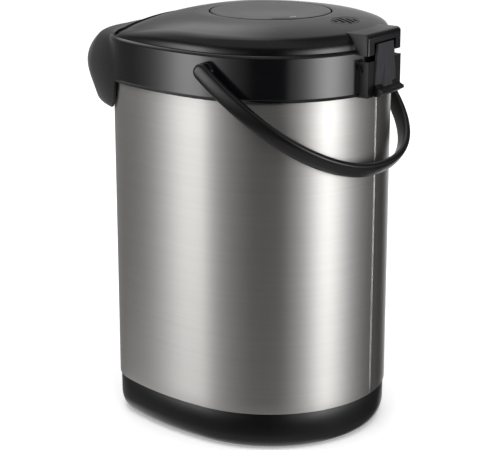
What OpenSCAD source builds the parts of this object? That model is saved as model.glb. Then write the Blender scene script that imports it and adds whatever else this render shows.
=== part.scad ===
// Electric thermo pot with a manual air pump.
// Frame: origin on the rest plane under the middle of the water vessel,
// +Z up, -Y towards the spout, +X towards one side of the handle.

/* [Body] */
// Width of the body from side to side
body_w = 214; // [206:1:222]
// Radius of the nearly straight flanks
flank_r = 280; // [260:5:300]
// Turn of each flank before the nose corner, in degrees
flank_turn = 20; // [18:1:22]
// Radius of the two nose corners
nose_r = 51; // [48:1:54]
// Height of the steel wrap's lower edge
steel_z0 = 34.7; // [30:0.1:38]
// Height of the steel wrap's upper edge
steel_z1 = 313.5; // [310:0.5:318]
// Height of the split between shoulder and lid
split_z = 349; // [346:0.5:352]

/* [Lid] */
// Height of the rim round the pump plate
rim_z = 372.5; // [370:0.5:375]
// Height of the lid's shoulder at the sides and rear
shoulder_z = 365.2; // [363:0.2:366]
// Fall of the shoulder towards the spout, mm per square mm of reach
nose_fall = 0.0013; // [0.001:0.0001:0.0016]
// Radius of the pump plate
pump_r = 53.2; // [50:0.1:54]
// Travel of the pump plate
pump_travel = 11.5; // [8:0.5:11.5]

/* [Hinge] */
// Distance of the hinge pin behind the vessel's axis
pin_y = 109.3; // [109:0.1:110]
// Height of the hinge pin
pin_z = 335.5; // [335:0.1:336]
// Radius of the hinge pin
pin_r = 2; // [1.8:0.1:2.2]
// Half of the hinge block's width
hinge_x = 28; // [27.5:0.5:29]

/* [Handle] */
// Distance of the handle's pivots behind the vessel's axis
bail_y = 8; // [6:0.5:10]
// Height of the handle's pivots
bail_z = 336.5; // [335:0.5:337]
// Half of the handle's outer width
bail_a = 120; // [119:0.5:122]
// Reach of the handle from its pivots
bail_b = 143; // [142.5:0.5:146]
// Angle of the resting handle below level
bail_rest = 39.5; // [37:0.5:39.5]

/* [Water] */
// Outer radius of the water vessel
vessel_r = 88; // [84:1:88]
// Distance of the level tube in front of the vessel's axis
tube_y = -118; // [-119:0.5:-116]
// Distance of the spout nozzle in front of the vessel's axis
nozzle_y = -149.5; // [-149.7:0.1:-148.8]

/* [Hidden] */
$fn = 64;
run = 0.05; // radial play of a turning fit
body_r = body_w / 2;

// ---- plan outline: tangent arcs, each knot = [centre, radius, direction of its normal]
corner_turn = 63;
flank_c = [body_r - flank_r, 0];
corner_c = flank_c + (flank_r - nose_r) * [cos(flank_turn), -sin(flank_turn)];
front_r = nose_r + corner_c[0] / cos(corner_turn);
front_c = [0, corner_c[1] + (front_r - nose_r) * sin(corner_turn)];
front_y = front_c[1] - front_r;
function knots(c, r, a0, a1, n) = [for (k = [0:n - 1]) [c, r, a0 + (a1 - a0) * k / n]];
function mirror_x(p) = [for (k = [len(p) - 2:-1:1]) [-p[k][0], p[k][1]]];
function at_knot(q, inset) = q[0] + (q[1] - inset) * [cos(q[2]), sin(q[2])];
half_body = concat(
    knots([0, 0], body_r, 90, 0, 18),
    knots(flank_c, flank_r, 0, -flank_turn, 4),
    knots(corner_c, nose_r, -flank_turn, -corner_turn, 7),
    knots(front_c, front_r, -corner_turn, -90, 5),
    [[front_c, front_r, -90]]);
function half_outline(inset) = [for (q = half_body) at_knot(q, inset)];
function outline(inset) = concat(half_outline(inset), mirror_x(half_outline(inset)));

// ---- spout hood: the flanks run on, then one arc closes the nose
hood_turn = 32;
tip_r = flank_r - (flank_r - body_r) / cos(hood_turn);
tip_c = [0, -(flank_r - tip_r) * sin(hood_turn)];
half_hood = concat(
    knots([0, 0], body_r, 90, 0, 6),
    knots(flank_c, flank_r, 0, -hood_turn, 8),
    knots(tip_c, tip_r, -hood_turn, -90, 12),
    [[tip_c, tip_r, -90]]);
hood_rear_y = -110;
hood_z0 = 287;
// share of a level's inset that a direction takes: none at the flanks, all at the nose
function nose_share(a) = a > -10 ? 0 : pow(sin(min(90, (-a - 10) * 90 / 62)), 2);
function half_hood_ring(nose, flank, wall) = [for (q = half_hood)
    at_knot(q, flank + (nose - flank) * nose_share(q[2]) + wall)];
function hood_ring(nose, flank, wall) = concat(
    half_hood_ring(nose, flank, wall), mirror_x(half_hood_ring(nose, flank, wall)));
// each level = [inset at the nose, height, inset at the flanks]
hood_levels = [[27, hood_z0, 0], [17, 290, 0], [8.5, 296, 0], [3, 303, 0], [0, 312, 0],
    [0.5, 321, 0], [3.5, 330, 0], [9.5, 337.5, 0], [19, 343.5, 0.2], [31, 347.5, 1],
    [44, 350.5, 7], [56, 352, 16]];

// ---- lid skin: the outline rises, rounds the shoulder and closes in on the pump's rim
lid_z0 = split_z + 0.3;
lid_front_y = -110.5;
hood_back_y = lid_front_y - 0.8;
catch_y = hood_back_y - 1;
vent_y = 76;
vent_turn = 19; // the slots lean towards the side that the handle's first pivot is on
lid_inner_r = 50;
lid_side = [[1, 0], [1.3, 0.3], [2.8, 0.6], [5.8, 0.85], [10.5, 1]];
lid_crown = [[0.22, 0.42], [0.45, 0.72], [0.7, 0.92], [0.85, 1], [1, 1]];
function fall(y) = min(14, nose_fall * pow(max(0, -y - 20), 2));
function lid_side_ring(inset, h) = [for (p = outline(inset))
    [p[0], p[1], lid_z0 + h * (shoulder_z - lid_z0) - h * fall(p[1])]];
function lid_crown_ring(t, h) = let (p = outline(10.5), q = concat(half_body,
        [for (k = [len(half_body) - 2:-1:1]) [[0, 0], 0, 180 - half_body[k][2]]]))
    [for (k = [0:len(p) - 1]) let (c = lid_inner_r * [cos(q[k][2]), sin(q[k][2])],
        m = p[k] * (1 - t) + c * t)
        [m[0], m[1], shoulder_z + h * (rim_z - shoulder_z) - (1 - t) * fall(m[1])]];
lid_rings = concat([for (l = lid_side) lid_side_ring(l[0], l[1])],
    [for (l = lid_crown) lid_crown_ring(l[0], l[1])]);

// ---- heights and sizes of the pieces
hood_wall = 2.5;
skin = 2.5;
shelf_z = 330;
shelf_t = 3;
mouth_r = 80;
well_r = pump_r + 1.2;
plate_z0 = 368.8;
lock_r = [46.4, 48.6];
lock_at = 53;
lock_turn = 18;
well_base = 351;
well_floor = well_base + 1.5;
vessel_z0 = 62;
vessel_z1 = 326;
skirt_r = 82;
block_z0 = 311.4;
block_z1 = 341.9;
block_y = 115.5;
housing_z = 365;
arm_x = [19.2, 24.8];
lever_x = 17.3;
lever_pin = [-100, 359.5];
strap_t = 7;
strap_w = 14;

// ---- shared shapes
// Straight wall between two insets of the body's outline
module wall(outer, inner, z0, z1) {
    translate([0, 0, z0]) linear_extrude(z1 - z0) difference() {
        polygon(outline(outer));
        polygon(outline(inner));
    }
}
// Filled plan shape between two heights
module slab(inset, z0, z1) {
    translate([0, 0, z0]) linear_extrude(z1 - z0) polygon(outline(inset));
}
// Round ring about a vertical axis
module ring(ro, ri, z0, z1) {
    difference() {
        translate([0, 0, z0]) cylinder(r = ro, h = z1 - z0);
        translate([0, 0, z0 - 1]) cylinder(r = ri, h = z1 - z0 + 2);
    }
}
// Box given by its two corners
module block(a, b) {
    translate(a) cube(b - a);
}
// Rod along X at a place in the side view
module rod_x(y, z, r, x0, x1) {
    translate([x0, y, z]) rotate([0, 90, 0]) cylinder(r = r, h = x1 - x0);
}
// Rod along Y
module rod_y(x, z, r, y0, y1) {
    translate([x, y0, z]) rotate([-90, 0, 0]) cylinder(r = r, h = y1 - y0);
}
// Rod between any two points
module rod(a, b, r) {
    d = b - a;
    translate(a) rotate([0, acos(d[2] / norm(d)), atan2(d[1], d[0])])
        cylinder(r = r, h = norm(d), $fn = 24);
}
// Closed solid through rings of equal count, lowest first
module loft(rings) {
    n = len(rings[0]);
    m = len(rings);
    points = [for (r = rings) for (p = r) p];
    sides = [for (k = [0:m - 2]) for (i = [0:n - 1]) let (j = (i + 1) % n)
        each [[k * n + i, k * n + j, (k + 1) * n + i],
              [k * n + j, (k + 1) * n + j, (k + 1) * n + i]]];
    low = [[for (i = [n - 1:-1:0]) i]];
    high = [[for (i = [0:n - 1]) (m - 1) * n + i]];
    polyhedron(points = points, faces = concat(low, sides, high), convexity = 4);
}
module lid_form(down) {
    translate([0, 0, -down]) loft(lid_rings);
}
module hood_form(wall) {
    loft([for (l = hood_levels) [for (p = hood_ring(l[0], l[2], wall)) [p[0], p[1], l[1]]]]);
}
// Inside of the hood: one wall in from its sides and one wall down from its top
module hood_hollow() {
    intersection() {
        hood_form(hood_wall);
        translate([0, 0, -hood_wall]) hood_form(hood_wall);
        block([-150, -250, 0], [150, hood_rear_y - hood_wall, 400]);
    }
}
module both_sides() {
    children();
    mirror([1, 0, 0]) children();
}
base_screw_at = [at_knot([[0, 0], body_r, 35], 18), at_knot([corner_c, nose_r, -42], 18)];
lid_screw_at = [[78, 40], [72, -66]];
foot_at = [[58, 45], [42, -84]];
loom_r = 90;
loom_end = [-loom_r * cos(82), -28 - loom_r * sin(82), 20];

// ---- outer pieces
module steel_shell() {
    color([0.72, 0.72, 0.71]) difference() {
        union() {
            wall(0, 0.8, steel_z0, steel_z1);
            wall(0.4, 2.6, steel_z0, steel_z0 + 1);
            intersection() {
                wall(-0.7, 0.4, steel_z0, steel_z1 - 0.5);
                block([-5, 90, 0], [-1, 120, 400]);
            }
        }
        block([-36, front_y - 5, 46], [36, front_y + 30, 280]);
    }
}
module collar() {
    color([0.16, 0.16, 0.17]) difference() {
        union() {
            slab(-0.5, steel_z1, split_z);
            wall(1, 3.5, steel_z1 - 5.5, steel_z1);
        }
        slab(3.5, steel_z1 - 6, shelf_z);
        translate([0, 0, shelf_z - 1]) cylinder(r = mouth_r, h = 10);
        intersection() {
            slab(6.3, shelf_z + shelf_t, split_z + 1);
            block([-150, hood_back_y, 0], [150, 150, 400]);
        }
        intersection() {
            slab(5, shelf_z - 1, split_z - 2.5);
            block([-48, -150, 0], [48, hood_back_y - 2.5, 400]);
        }
        block([-25.5, pin_y - 13, 331], [25.5, 120, 400]);
        block([-9, -150, steel_z1 - 1], [9, -128, shelf_z]);
        block([-8, catch_y, 340], [8, hood_back_y + 1, 400]);
        both_sides() rod_x(bail_y, bail_z, 4, 90, 120);
        both_sides() rod_y(21.8, 318, 1.5, 90, 120);
    }
}
module spout_hood() {
    color([0.16, 0.16, 0.17]) difference() {
        union() {
            hood_form(0);
            lid_form(0);
            slab(1.2, split_z - 1, lid_z0 + 0.2);
        }
        block([-150, hood_rear_y, 0], [150, 150, split_z]);
        block([-150, hood_back_y, split_z - 5], [150, 150, 400]);
        slab(-0.5, 200, split_z);
        difference() {
            hood_hollow();
            block([-150, hood_back_y - 30, split_z - 1], [150, 150, 400]);
        }
        block([-8, catch_y, 340], [8, hood_back_y + 1, 400]);
    }
}
module hood_floor() {
    color([0.13, 0.13, 0.14]) difference() {
        intersection() {
            hood_form(hood_wall + 0.01);
            block([-90, -200, hood_z0], [90, hood_rear_y - hood_wall, hood_z0 + 2.6]);
        }
        slab(-3.2, 200, 320);
        translate([0, nozzle_y, hood_z0 - 1]) cylinder(r = 6.5, h = 10);
    }
}
module base_ring() {
    foot_levels = [[9, 0], [5.8, 1], [3.4, 2.8], [1.9, 5.2], [1.2, 8.5], [1.2, steel_z0]];
    color([0.07, 0.07, 0.075]) difference() {
        union() {
            difference() {
                loft([for (l = foot_levels) [for (p = outline(l[0])) [p[0], p[1], l[1]]]]);
                slab(4.6, 5.5, 60);
            }
            wall(2.8, 4.6, steel_z0 - 1, 42);
            both_sides() for (p = base_screw_at)
                translate([p[0], p[1], 3]) cylinder(r = 4.2, h = 8);
        }
        slab(14, -1, 3);
        slab(22, -1, 60);
        both_sides() for (p = base_screw_at)
            translate([p[0], p[1], 0]) cylinder(r = 1.65, h = 9.2);
        block([-120, -16, 9], [-90, 16, 27]);
    }
}
module base_plate() {
    color([0.08, 0.08, 0.08]) difference() {
        slab(14, 0, 3);
        both_sides() for (p = base_screw_at) translate([p[0], p[1], -1]) {
            cylinder(r = 3.3, h = 3.6);
            cylinder(r = 1.65, h = 6);
        }
        both_sides() for (p = foot_at) translate([p[0], p[1], -1]) cylinder(r = 9, h = 2.2);
    }
}
module feet() {
    color([0.05, 0.05, 0.05]) both_sides() for (p = foot_at)
        translate([p[0], p[1], 0]) cylinder(r = 9, h = 1.2);
}
module base_screws() {
    color([0.6, 0.6, 0.6]) both_sides() for (p = base_screw_at) translate([p[0], p[1], 0.6]) {
        cylinder(r = 3.2, h = 2);
        cylinder(r = 1.6, h = 8.4);
    }
}
module front_panel() {
    color([0.1, 0.1, 0.11]) difference() {
        intersection() {
            wall(-2.5, 0, 40, 284);
            block([-44, front_y - 20, 40], [44, front_y + 30, 284]);
        }
        block([-6, front_y - 10, 92], [6, front_y + 10, 232]);
        block([-30, front_y - 10, 50], [30, front_y + 10, 82]);
    }
}
module gauge_window() {
    color([0.8, 0.88, 0.92, 0.5]) block([-6, front_y - 2, 92], [6, front_y + 1, 232]);
}
module control_bezel() {
    face_y = front_y - 3.7;
    color([0.2, 0.2, 0.21]) difference() {
        union() {
            block([-30, face_y, 50], [30, face_y + 4, 82]);
            for (x = [-27, 27], z = [53.5, 78.5])
                rod_y(x, z, 2.2, face_y + 3, front_y + 8.5);
        }
        rod_y(-15, 66, 7.3, face_y - 1, face_y + 6);
        for (x = [8, 20]) rod_y(x, 66, 2.2, face_y - 1, face_y + 6);
    }
}
module lamp_lenses() {
    color([0.9, 0.45, 0.15]) for (x = [8, 20]) rod_y(x, 66, 2.2, front_y - 4.2, front_y + 3);
}
module control_board() {
    color([0.1, 0.35, 0.2]) union() {
        block([-32, front_y + 8.5, 46], [32, front_y + 10.1, 86]);
        block([-18, front_y + 5, 63], [-12, front_y + 8.6, 69]);
        block([14, front_y + 10, 52], [30, front_y + 14, 62]);
    }
}
module reboil_button() {
    color([0.55, 0.55, 0.56]) union() {
        rod_y(-15, 66, 7, front_y - 5.2, front_y + 0.9);
        rod_y(-15, 66, 8.6, front_y + 0.7, front_y + 2.2);
    }
}
module power_inlet() {
    color([0.06, 0.06, 0.06]) difference() {
        block([-104.3, -16, 9], [-84, 16, 27]);
        block([-106, -12, 10.5], [-92, 12, 25.5]);
        for (y = [-6, 6]) rod_x(y, 18, 2.5, -94, -80);
    }
}
module inlet_contacts() {
    color([0.8, 0.75, 0.5]) for (y = [-6, 6]) rod_x(y, 18, 2.5, -94, -83);
}

// ---- water vessel and heating
module vessel() {
    color([0.75, 0.75, 0.76]) difference() {
        union() {
            translate([0, 0, vessel_z0]) cylinder(r = vessel_r, h = vessel_z1 - vessel_z0);
            translate([0, 0, vessel_z1]) cylinder(r = vessel_r + 6, h = 1.5);
        }
        translate([0, 0, vessel_z0 + 1]) cylinder(r = vessel_r - 1, h = 300);
        translate([0, -66, vessel_z0 - 1]) cylinder(r = 5, h = 4);
    }
}
module vessel_seal() {
    color([0.85, 0.85, 0.82]) ring(vessel_r + 5, vessel_r - 1.1, vessel_z1 + 1.5, shelf_z);
}
module insulation() {
    color([0.85, 0.83, 0.75]) ring(vessel_r + 6, vessel_r, vessel_z0 + 26, vessel_z1 - 2);
}
module support_skirt() {
    color([0.6, 0.62, 0.63]) difference() {
        ring(skirt_r, skirt_r - 2, 3, vessel_z0);
        block([-10, -90, 36], [10, -70, vessel_z0 + 1]);
        for (a = [30:60:330]) rotate(a) block([70, -12, 12], [90, 12, 30]);
    }
}
module heater_plate() {
    color([0.65, 0.65, 0.62]) ring(52, 3, vessel_z0 - 6, vessel_z0);
}
module band_heater() {
    color([0.7, 0.62, 0.4]) ring(vessel_r + 2, vessel_r, vessel_z0 + 8, vessel_z0 + 24);
}
module thermostat() {
    color([0.3, 0.28, 0.26]) union() {
        translate([0, 0, vessel_z0 - 12]) cylinder(r = 9, h = 6);
        block([-3, -8, vessel_z0 - 17], [-2, -2, vessel_z0 - 11]);
        block([2, 2, vessel_z0 - 17], [3, 8, vessel_z0 - 11]);
    }
}
module thermal_fuse() {
    color([0.85, 0.8, 0.7]) union() {
        rod_y(28, vessel_z0 - 9, 2.6, -10, 10);
        block([26, -4, vessel_z0 - 9], [30, 4, vessel_z0 - 6]);
    }
}
module heat_shield() {
    color([0.7, 0.7, 0.7]) translate([0, 0, 34]) cylinder(r = skirt_r - 2, h = 1);
}
module outlet_fitting() {
    color([0.9, 0.9, 0.85]) difference() {
        union() {
            translate([0, -66, 38]) cylinder(r = 8.5, h = vessel_z0 - 38);
            rod_y(0, 46, 6.5, tube_y, -66);
            translate([0, tube_y, 38]) cylinder(r = 8.5, h = 26);
        }
        translate([0, -66, 46]) cylinder(r = 5, h = 30);
        rod_y(0, 46, 4.5, tube_y, -66);
        translate([0, tube_y, 46]) cylinder(r = 4.8, h = 30);
    }
}
module gauge_tube() {
    color([0.85, 0.92, 0.95, 0.5]) translate([0, tube_y, 0]) ring(6, 4.6, 64, 312);
}
module spout_elbow() {
    color([0.9, 0.9, 0.85]) difference() {
        union() {
            translate([0, tube_y, 312]) cylinder(r = 8, h = shelf_z - 312);
            rod_y(0, 321, 6, nozzle_y, tube_y);
            translate([0, nozzle_y, 302]) cylinder(r = 8, h = 27);
        }
        translate([0, tube_y, 311]) cylinder(r = 4.6, h = 10);
        rod_y(0, 321, 4.2, nozzle_y, tube_y);
        translate([0, nozzle_y, 301]) cylinder(r = 4.6, h = 20);
    }
}
module spout_nozzle() {
    color([0.2, 0.2, 0.2]) translate([0, nozzle_y, 0]) difference() {
        union() {
            translate([0, 0, 279]) cylinder(r = 6.4, h = 23);
            translate([0, 0, 290]) cylinder(r = 8, h = 2);
        }
        translate([0, 0, 278]) cylinder(r = 4.6, h = 30);
    }
}
module harness() {
    color([0.75, 0.75, 0.72]) union() {
        translate([0, -28, 20]) rotate([0, 0, 180]) rotate_extrude(angle = 82)
            translate([loom_r, 0]) circle(r = 2.4);
        translate(loom_end + [0, 0, -3]) cylinder(r = 3.2, h = 34);
        rod_y(-loom_r, 20, 2.4, -28.5, -16);
        rod_y(loom_end[0], 48, 2.4, front_y + 10.1, loom_end[1]);
    }
}

// ---- hinge
module hinge_bracket() {
    color([0.1, 0.1, 0.105]) difference() {
        block([-hinge_x, 95, block_z0], [hinge_x, block_y, block_z1]);
        slab(-0.5, 300, 400);
        block([-25.5, 90, 331], [25.5, 113.7, 360]);
        block([-18.3, 113.4, 300], [18.3, 130, 360]);
        block([-18.3, 104.8, 331], [18.3, 130, 360]);
        rod_x(pin_y, pin_z, pin_r + 0.01, -40, 40);
        both_sides() rod_y(21.8, 318, 1.5, 90, 112);
    }
}
module hinge_pin() {
    color([0.7, 0.7, 0.7]) rod_x(pin_y, pin_z, pin_r, 1.1 - hinge_x, hinge_x - 1.1);
}
module bracket_screws() {
    color([0.6, 0.6, 0.6]) both_sides() union() {
        rod_y(21.8, 318, 1.45, 97, 111.5);
        rod_y(21.8, 318, 3, 98.1, 100.3);
    }
}
module handle_pivots() {
    color([0.08, 0.08, 0.085]) both_sides() union() {
        rod_x(bail_y, bail_z, 4, 100.5, bail_a - 2.5);
        rod_x(bail_y, bail_z, 7.5, body_r + 0.6, bail_a - strap_t - 0.3);
    }
}
// Upper half of a superellipse, from +X to -X
function bail_arc(a, b, n) = [for (k = [0:n]) let (t = 180 * k / n)
    [a * sign(cos(t)) * pow(abs(cos(t)), 2 / 2.2), b * pow(sin(t), 2 / 2.2)]];
module handle() {
    arc_out = bail_arc(bail_a, bail_b, 48);
    arc_in = bail_arc(bail_a - strap_t, bail_b - strap_t, 48);
    color([0.09, 0.09, 0.095]) difference() {
        union() {
            translate([0, bail_y, bail_z]) rotate([-bail_rest, 0, 0])
                translate([0, 0, -strap_w / 2]) linear_extrude(strap_w)
                    polygon(concat(arc_out, [for (k = [len(arc_in) - 1:-1:0]) arc_in[k]]));
            both_sides() rod_x(bail_y, bail_z, strap_w / 2 + 0.5, bail_a - strap_t + 0.1, bail_a + 0.2);
        }
        both_sides() rod_x(bail_y, bail_z, 4 + run, 100, bail_a - 2);
    }
}
module detach_lever() {
    plate_y = block_y - 1.3;
    color([0.2, 0.2, 0.22]) difference() {
        union() {
            block([-lever_x, plate_y, 314], [lever_x, plate_y + 2.5, pin_z + 20]);
            rod_x(pin_y, pin_z, 4, -15, 15);
            block([-12, pin_y, pin_z - 3], [12, plate_y + 1, pin_z + 3]);
            translate([-18.6, 0, 0]) rotate([90, 0, 90]) linear_extrude(37.2) polygon([
                [block_y + 0.6, 323], [block_y + 0.6, block_z0], [119.5, block_z0],
                [124.6, 314.6], [124.4, 316.8], [119, 319.4]]);
        }
        rod_x(pin_y, pin_z, pin_r + run, -20, 20);
    }
}

// ---- lid
module lid_cover() {
    color([0.13, 0.13, 0.14]) difference() {
        union() {
            lid_shell();
            difference() {
                block([-hinge_x, 88, 347], [hinge_x, block_y + 0.1, housing_z]);
                slab(-1.1, 300, lid_z0);
                block([-25.6, 80, 340], [25.6, 113.2, 353]);
                block([-25.6, 94, 352], [25.6, 113.2, housing_z - skin]);
            }
        }
        translate([0, 0, well_floor]) cylinder(r = well_r, h = 50);
        translate([0, 0, well_base - 5]) cylinder(r = 5 + run, h = 20);
        block([-30.1, -106, 355.5], [30.1, -63, 400]);
        block([-4.5, -103, 350], [4.5, -93, 360]);
        block([-7.8, -120, 340], [7.8, -100, 346.5]);
        rod_x(lever_pin[0], lever_pin[1], 1.6, -31.8, 31.8);
        rod_x(pin_y, pin_z, 22.3, -18.3, 18.3);
        both_sides() block([arm_x[0] - 0.3, 80, 340], [arm_x[1] + 0.3, 106, 353]);
        translate([0, 0, 300]) linear_extrude(100) vent_outline();
        both_sides() for (p = lid_screw_at) translate([p[0], p[1], 340]) cylinder(r = 1.55, h = 19);
        both_sides() translate([21.9, 90, 340]) cylinder(r = 1.55, h = 21);
    }
}
// Skin of the lid with the pump's well, the lever's pocket and the screw posts
module lid_shell() {
    difference() {
        intersection() {
            lid_form(0);
            block([-150, lid_front_y, 300], [150, 150, 400]);
        }
        difference() {
            intersection() {
                slab(1 + skin, lid_z0 - 1, 400);
                lid_form(skin);
                block([-150, lid_front_y + skin, 300], [150, 150, 400]);
            }
            translate([0, 0, well_base]) cylinder(r = well_r + 2, h = 100);
            block([-32.1, -108.2, well_base], [32.1, -61, 400]);
            both_sides() for (p = lid_screw_at)
                translate([p[0], p[1], well_base]) cylinder(r = 4, h = 100);
        }
    }
}
module vent_outline() {
    intersection() {
        translate([0, vent_y - 14]) circle(r = 24);
        translate([0, vent_y + 14]) circle(r = 24);
    }
}
module vent_grille() {
    color([0.1, 0.1, 0.1]) difference() {
        intersection() {
            difference() {
                lid_form(0);
                lid_form(2.4);
            }
            translate([0, 0, 340]) linear_extrude(60) vent_outline();
        }
        translate([0, vent_y, 340]) rotate(-vent_turn) for (x = [-11:5.5:11])
            block([x - 1.3, abs(x) / 2 - 8.6, 0], [x + 1.3, 8.6 - abs(x) / 2, 60]);
    }
}
module lid_base() {
    color([0.12, 0.12, 0.12]) difference() {
        union() {
            intersection() {
                slab(10, 346.3, well_base - 0.2);
                block([-150, lid_front_y + skin + 0.3, 300], [150, 86, 400]);
            }
            intersection() {
                slab(1 + skin, lid_z0 + 0.2, well_base);
                block([-150, -103, 300], [150, 85.5, 400]);
            }
            both_sides() block([7.9, -109, 341], [9.9, -92, 346.5]);
            both_sides() block([5.5, -109, 340.4], [9.9, -92, 341.6]);
        }
        translate([0, 0, 340]) cylinder(r = 6, h = 20);
        block([-4.5, -103, 345], [4.5, -89.5, 360]);
        translate([0, 70, 340]) cylinder(r = 7, h = 20);
        both_sides() for (p = lid_screw_at) translate([p[0], p[1], 340]) cylinder(r = 1.55, h = 20);
    }
}
module lid_inner() {
    color([0.7, 0.7, 0.71]) difference() {
        union() {
            translate([0, 0, 320]) cylinder(r = 76, h = 17);
            translate([0, 0, 337]) cylinder(r = 86, h = 2);
            translate([0, 0, 338]) cylinder(r = 80, h = 8.3);
        }
        translate([0, 0, 322]) cylinder(r = 74, h = 17);
        translate([0, 0, 339]) cylinder(r = 78, h = 20);
        for (a = [0:45:315]) rotate(a) translate([40, 0, 315]) cylinder(r = 2.5, h = 10);
    }
}
module lid_gasket() {
    color([0.85, 0.85, 0.82]) union() {
        ring(85.5, 76, 334.8, 337);
        ring(85.5, 82.5, shelf_z + shelf_t + 0.3, 335);
    }
}
module lid_screws() {
    color([0.6, 0.6, 0.6]) both_sides() for (p = lid_screw_at) translate([p[0], p[1], 344.1]) {
        cylinder(r = 3.4, h = 2.2);
        cylinder(r = 1.5, h = 14);
    }
}
module hinge_arms() {
    bend = [pin_y - 12.2, pin_y - 7.4];
    color([0.12, 0.12, 0.12]) difference() {
        union() {
            both_sides() {
                rod_x(pin_y, pin_z, 4, arm_x[0], arm_x[1]);
                block([arm_x[0], bend[0], pin_z - 2], [arm_x[1], pin_y, pin_z + 2]);
                block([arm_x[0], bend[0], pin_z - 2], [arm_x[1], bend[1], 353]);
                block([arm_x[0], 86, 350], [arm_x[1], bend[1], 353]);
            }
            block([-arm_x[1], 86, 350], [arm_x[1], 92, 353]);
        }
        rod_x(pin_y, pin_z, pin_r + run, -40, 40);
        both_sides() translate([21.9, 90, 340]) cylinder(r = 1.55, h = 21);
    }
}
module arm_screws() {
    color([0.6, 0.6, 0.6]) both_sides() translate([21.9, 90, 348]) {
        cylinder(r = 2.6, h = 2);
        cylinder(r = 1.5, h = 12);
    }
}
module steam_duct() {
    color([0.85, 0.85, 0.82]) translate([0, 70, 0]) ring(7, 5.5, 339, 364);
}
module lever_pin_rod() {
    color([0.7, 0.7, 0.7]) rod_x(lever_pin[0], lever_pin[1], 1.6, -31.6, 31.6);
}
module lid_lever() {
    color([0.15, 0.15, 0.16]) difference() {
        union() {
            intersection() {
                difference() {
                    lid_form(0);
                    lid_form(3);
                }
                block([-29.6, -104, 340], [29.6, -64, 400]);
            }
            for (x = [-27, -4, 23]) block([x, -103, lever_pin[1] - 1], [x + (x == -4 ? 8 : 4), -97, 362.2]);
            for (x = [-27, -4, 23]) rod_x(lever_pin[0], lever_pin[1], 3, x, x + (x == -4 ? 8 : 4));
            block([-4, -101.5, 347.5], [4, -98.5, 360]);
        }
        rod_x(lever_pin[0], lever_pin[1], 1.6 + run, -40, 40);
    }
}
module latch_bolt() {
    color([0.75, 0.75, 0.75]) union() {
        block([-7.5, catch_y + 0.4, 342], [7.5, -92, 346]);
        block([-4, -98.2, 345], [4, -95.7, well_base - 0.5]);
    }
}

// ---- pump
module pump_plate() {
    color([0.17, 0.17, 0.18]) difference() {
        translate([0, 0, 365]) cylinder(r = pump_r, h = 7.8);
        difference() {
            translate([0, 0, 364]) cylinder(r = pump_r - 4, h = plate_z0 - 364);
            for (a = [0, 120, 240]) rotate(a) block([45, -3, 364], [pump_r, 3, 366.3]);
        }
        rotate(lock_at - lock_turn - 1) rotate_extrude(angle = lock_turn + 10)
            translate([lock_r[0] - 0.3, 360]) square([lock_r[1] - lock_r[0] + 0.6, 20]);
    }
}
module lock_ring() {
    color([0.5, 0.5, 0.5]) union() {
        ring(pump_r - 4.3, 45.6, 366.6, plate_z0 - 0.3);
        rotate(lock_at) rotate_extrude(angle = 8)
            translate([lock_r[0], 367]) square([lock_r[1] - lock_r[0], 6.6]);
    }
}
module pump_stem() {
    color([0.8, 0.8, 0.78]) union() {
        translate([0, 0, 350.5]) cylinder(r = 5, h = 18.3);
        translate([0, 0, 366.3]) cylinder(r = 11, h = 2.5);
    }
}
module pump_bellows() {
    color([0.8, 0.8, 0.76]) ring(44, 38, well_floor, plate_z0);
}
module pump_spring() {
    color([0.7, 0.7, 0.7]) ring(14, 12, well_floor, plate_z0);
}

steel_shell();
collar();
spout_hood();
hood_floor();
base_ring();
base_plate();
feet();
base_screws();
vessel();
vessel_seal();
insulation();
support_skirt();
heater_plate();
band_heater();
thermostat();
thermal_fuse();
heat_shield();
outlet_fitting();
gauge_tube();
spout_elbow();
spout_nozzle();
front_panel();
gauge_window();
control_bezel();
lamp_lenses();
control_board();
harness();
power_inlet();
inlet_contacts();
hinge_bracket();
hinge_pin();
bracket_screws();
handle_pivots();
handle();
detach_lever();
reboil_button();
lid_cover();
lid_base();
lid_inner();
lid_gasket();
lid_screws();
hinge_arms();
arm_screws();
vent_grille();
steam_duct();
lever_pin_rod();
lid_lever();
latch_bolt();
pump_plate();
lock_ring();
pump_stem();
pump_bellows();
pump_spring();
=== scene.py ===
"""Electric thermo pot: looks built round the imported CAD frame."""
import math

import bmesh
import bpy
import numpy as np
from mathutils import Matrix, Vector


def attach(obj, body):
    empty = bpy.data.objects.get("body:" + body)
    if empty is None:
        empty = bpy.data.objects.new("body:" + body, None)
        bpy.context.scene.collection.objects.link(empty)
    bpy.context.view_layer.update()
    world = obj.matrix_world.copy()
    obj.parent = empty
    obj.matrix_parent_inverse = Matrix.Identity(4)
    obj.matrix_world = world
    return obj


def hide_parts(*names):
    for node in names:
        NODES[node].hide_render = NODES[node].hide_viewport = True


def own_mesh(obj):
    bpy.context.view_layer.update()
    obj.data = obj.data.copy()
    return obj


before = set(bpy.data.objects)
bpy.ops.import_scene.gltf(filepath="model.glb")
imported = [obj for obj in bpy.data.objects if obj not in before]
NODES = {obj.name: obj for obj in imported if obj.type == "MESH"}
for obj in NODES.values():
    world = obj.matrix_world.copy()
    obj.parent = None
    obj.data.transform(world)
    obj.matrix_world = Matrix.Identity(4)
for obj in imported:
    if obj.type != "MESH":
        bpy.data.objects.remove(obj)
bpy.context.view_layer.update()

MM = 0.001
scene = bpy.context.scene


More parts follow.
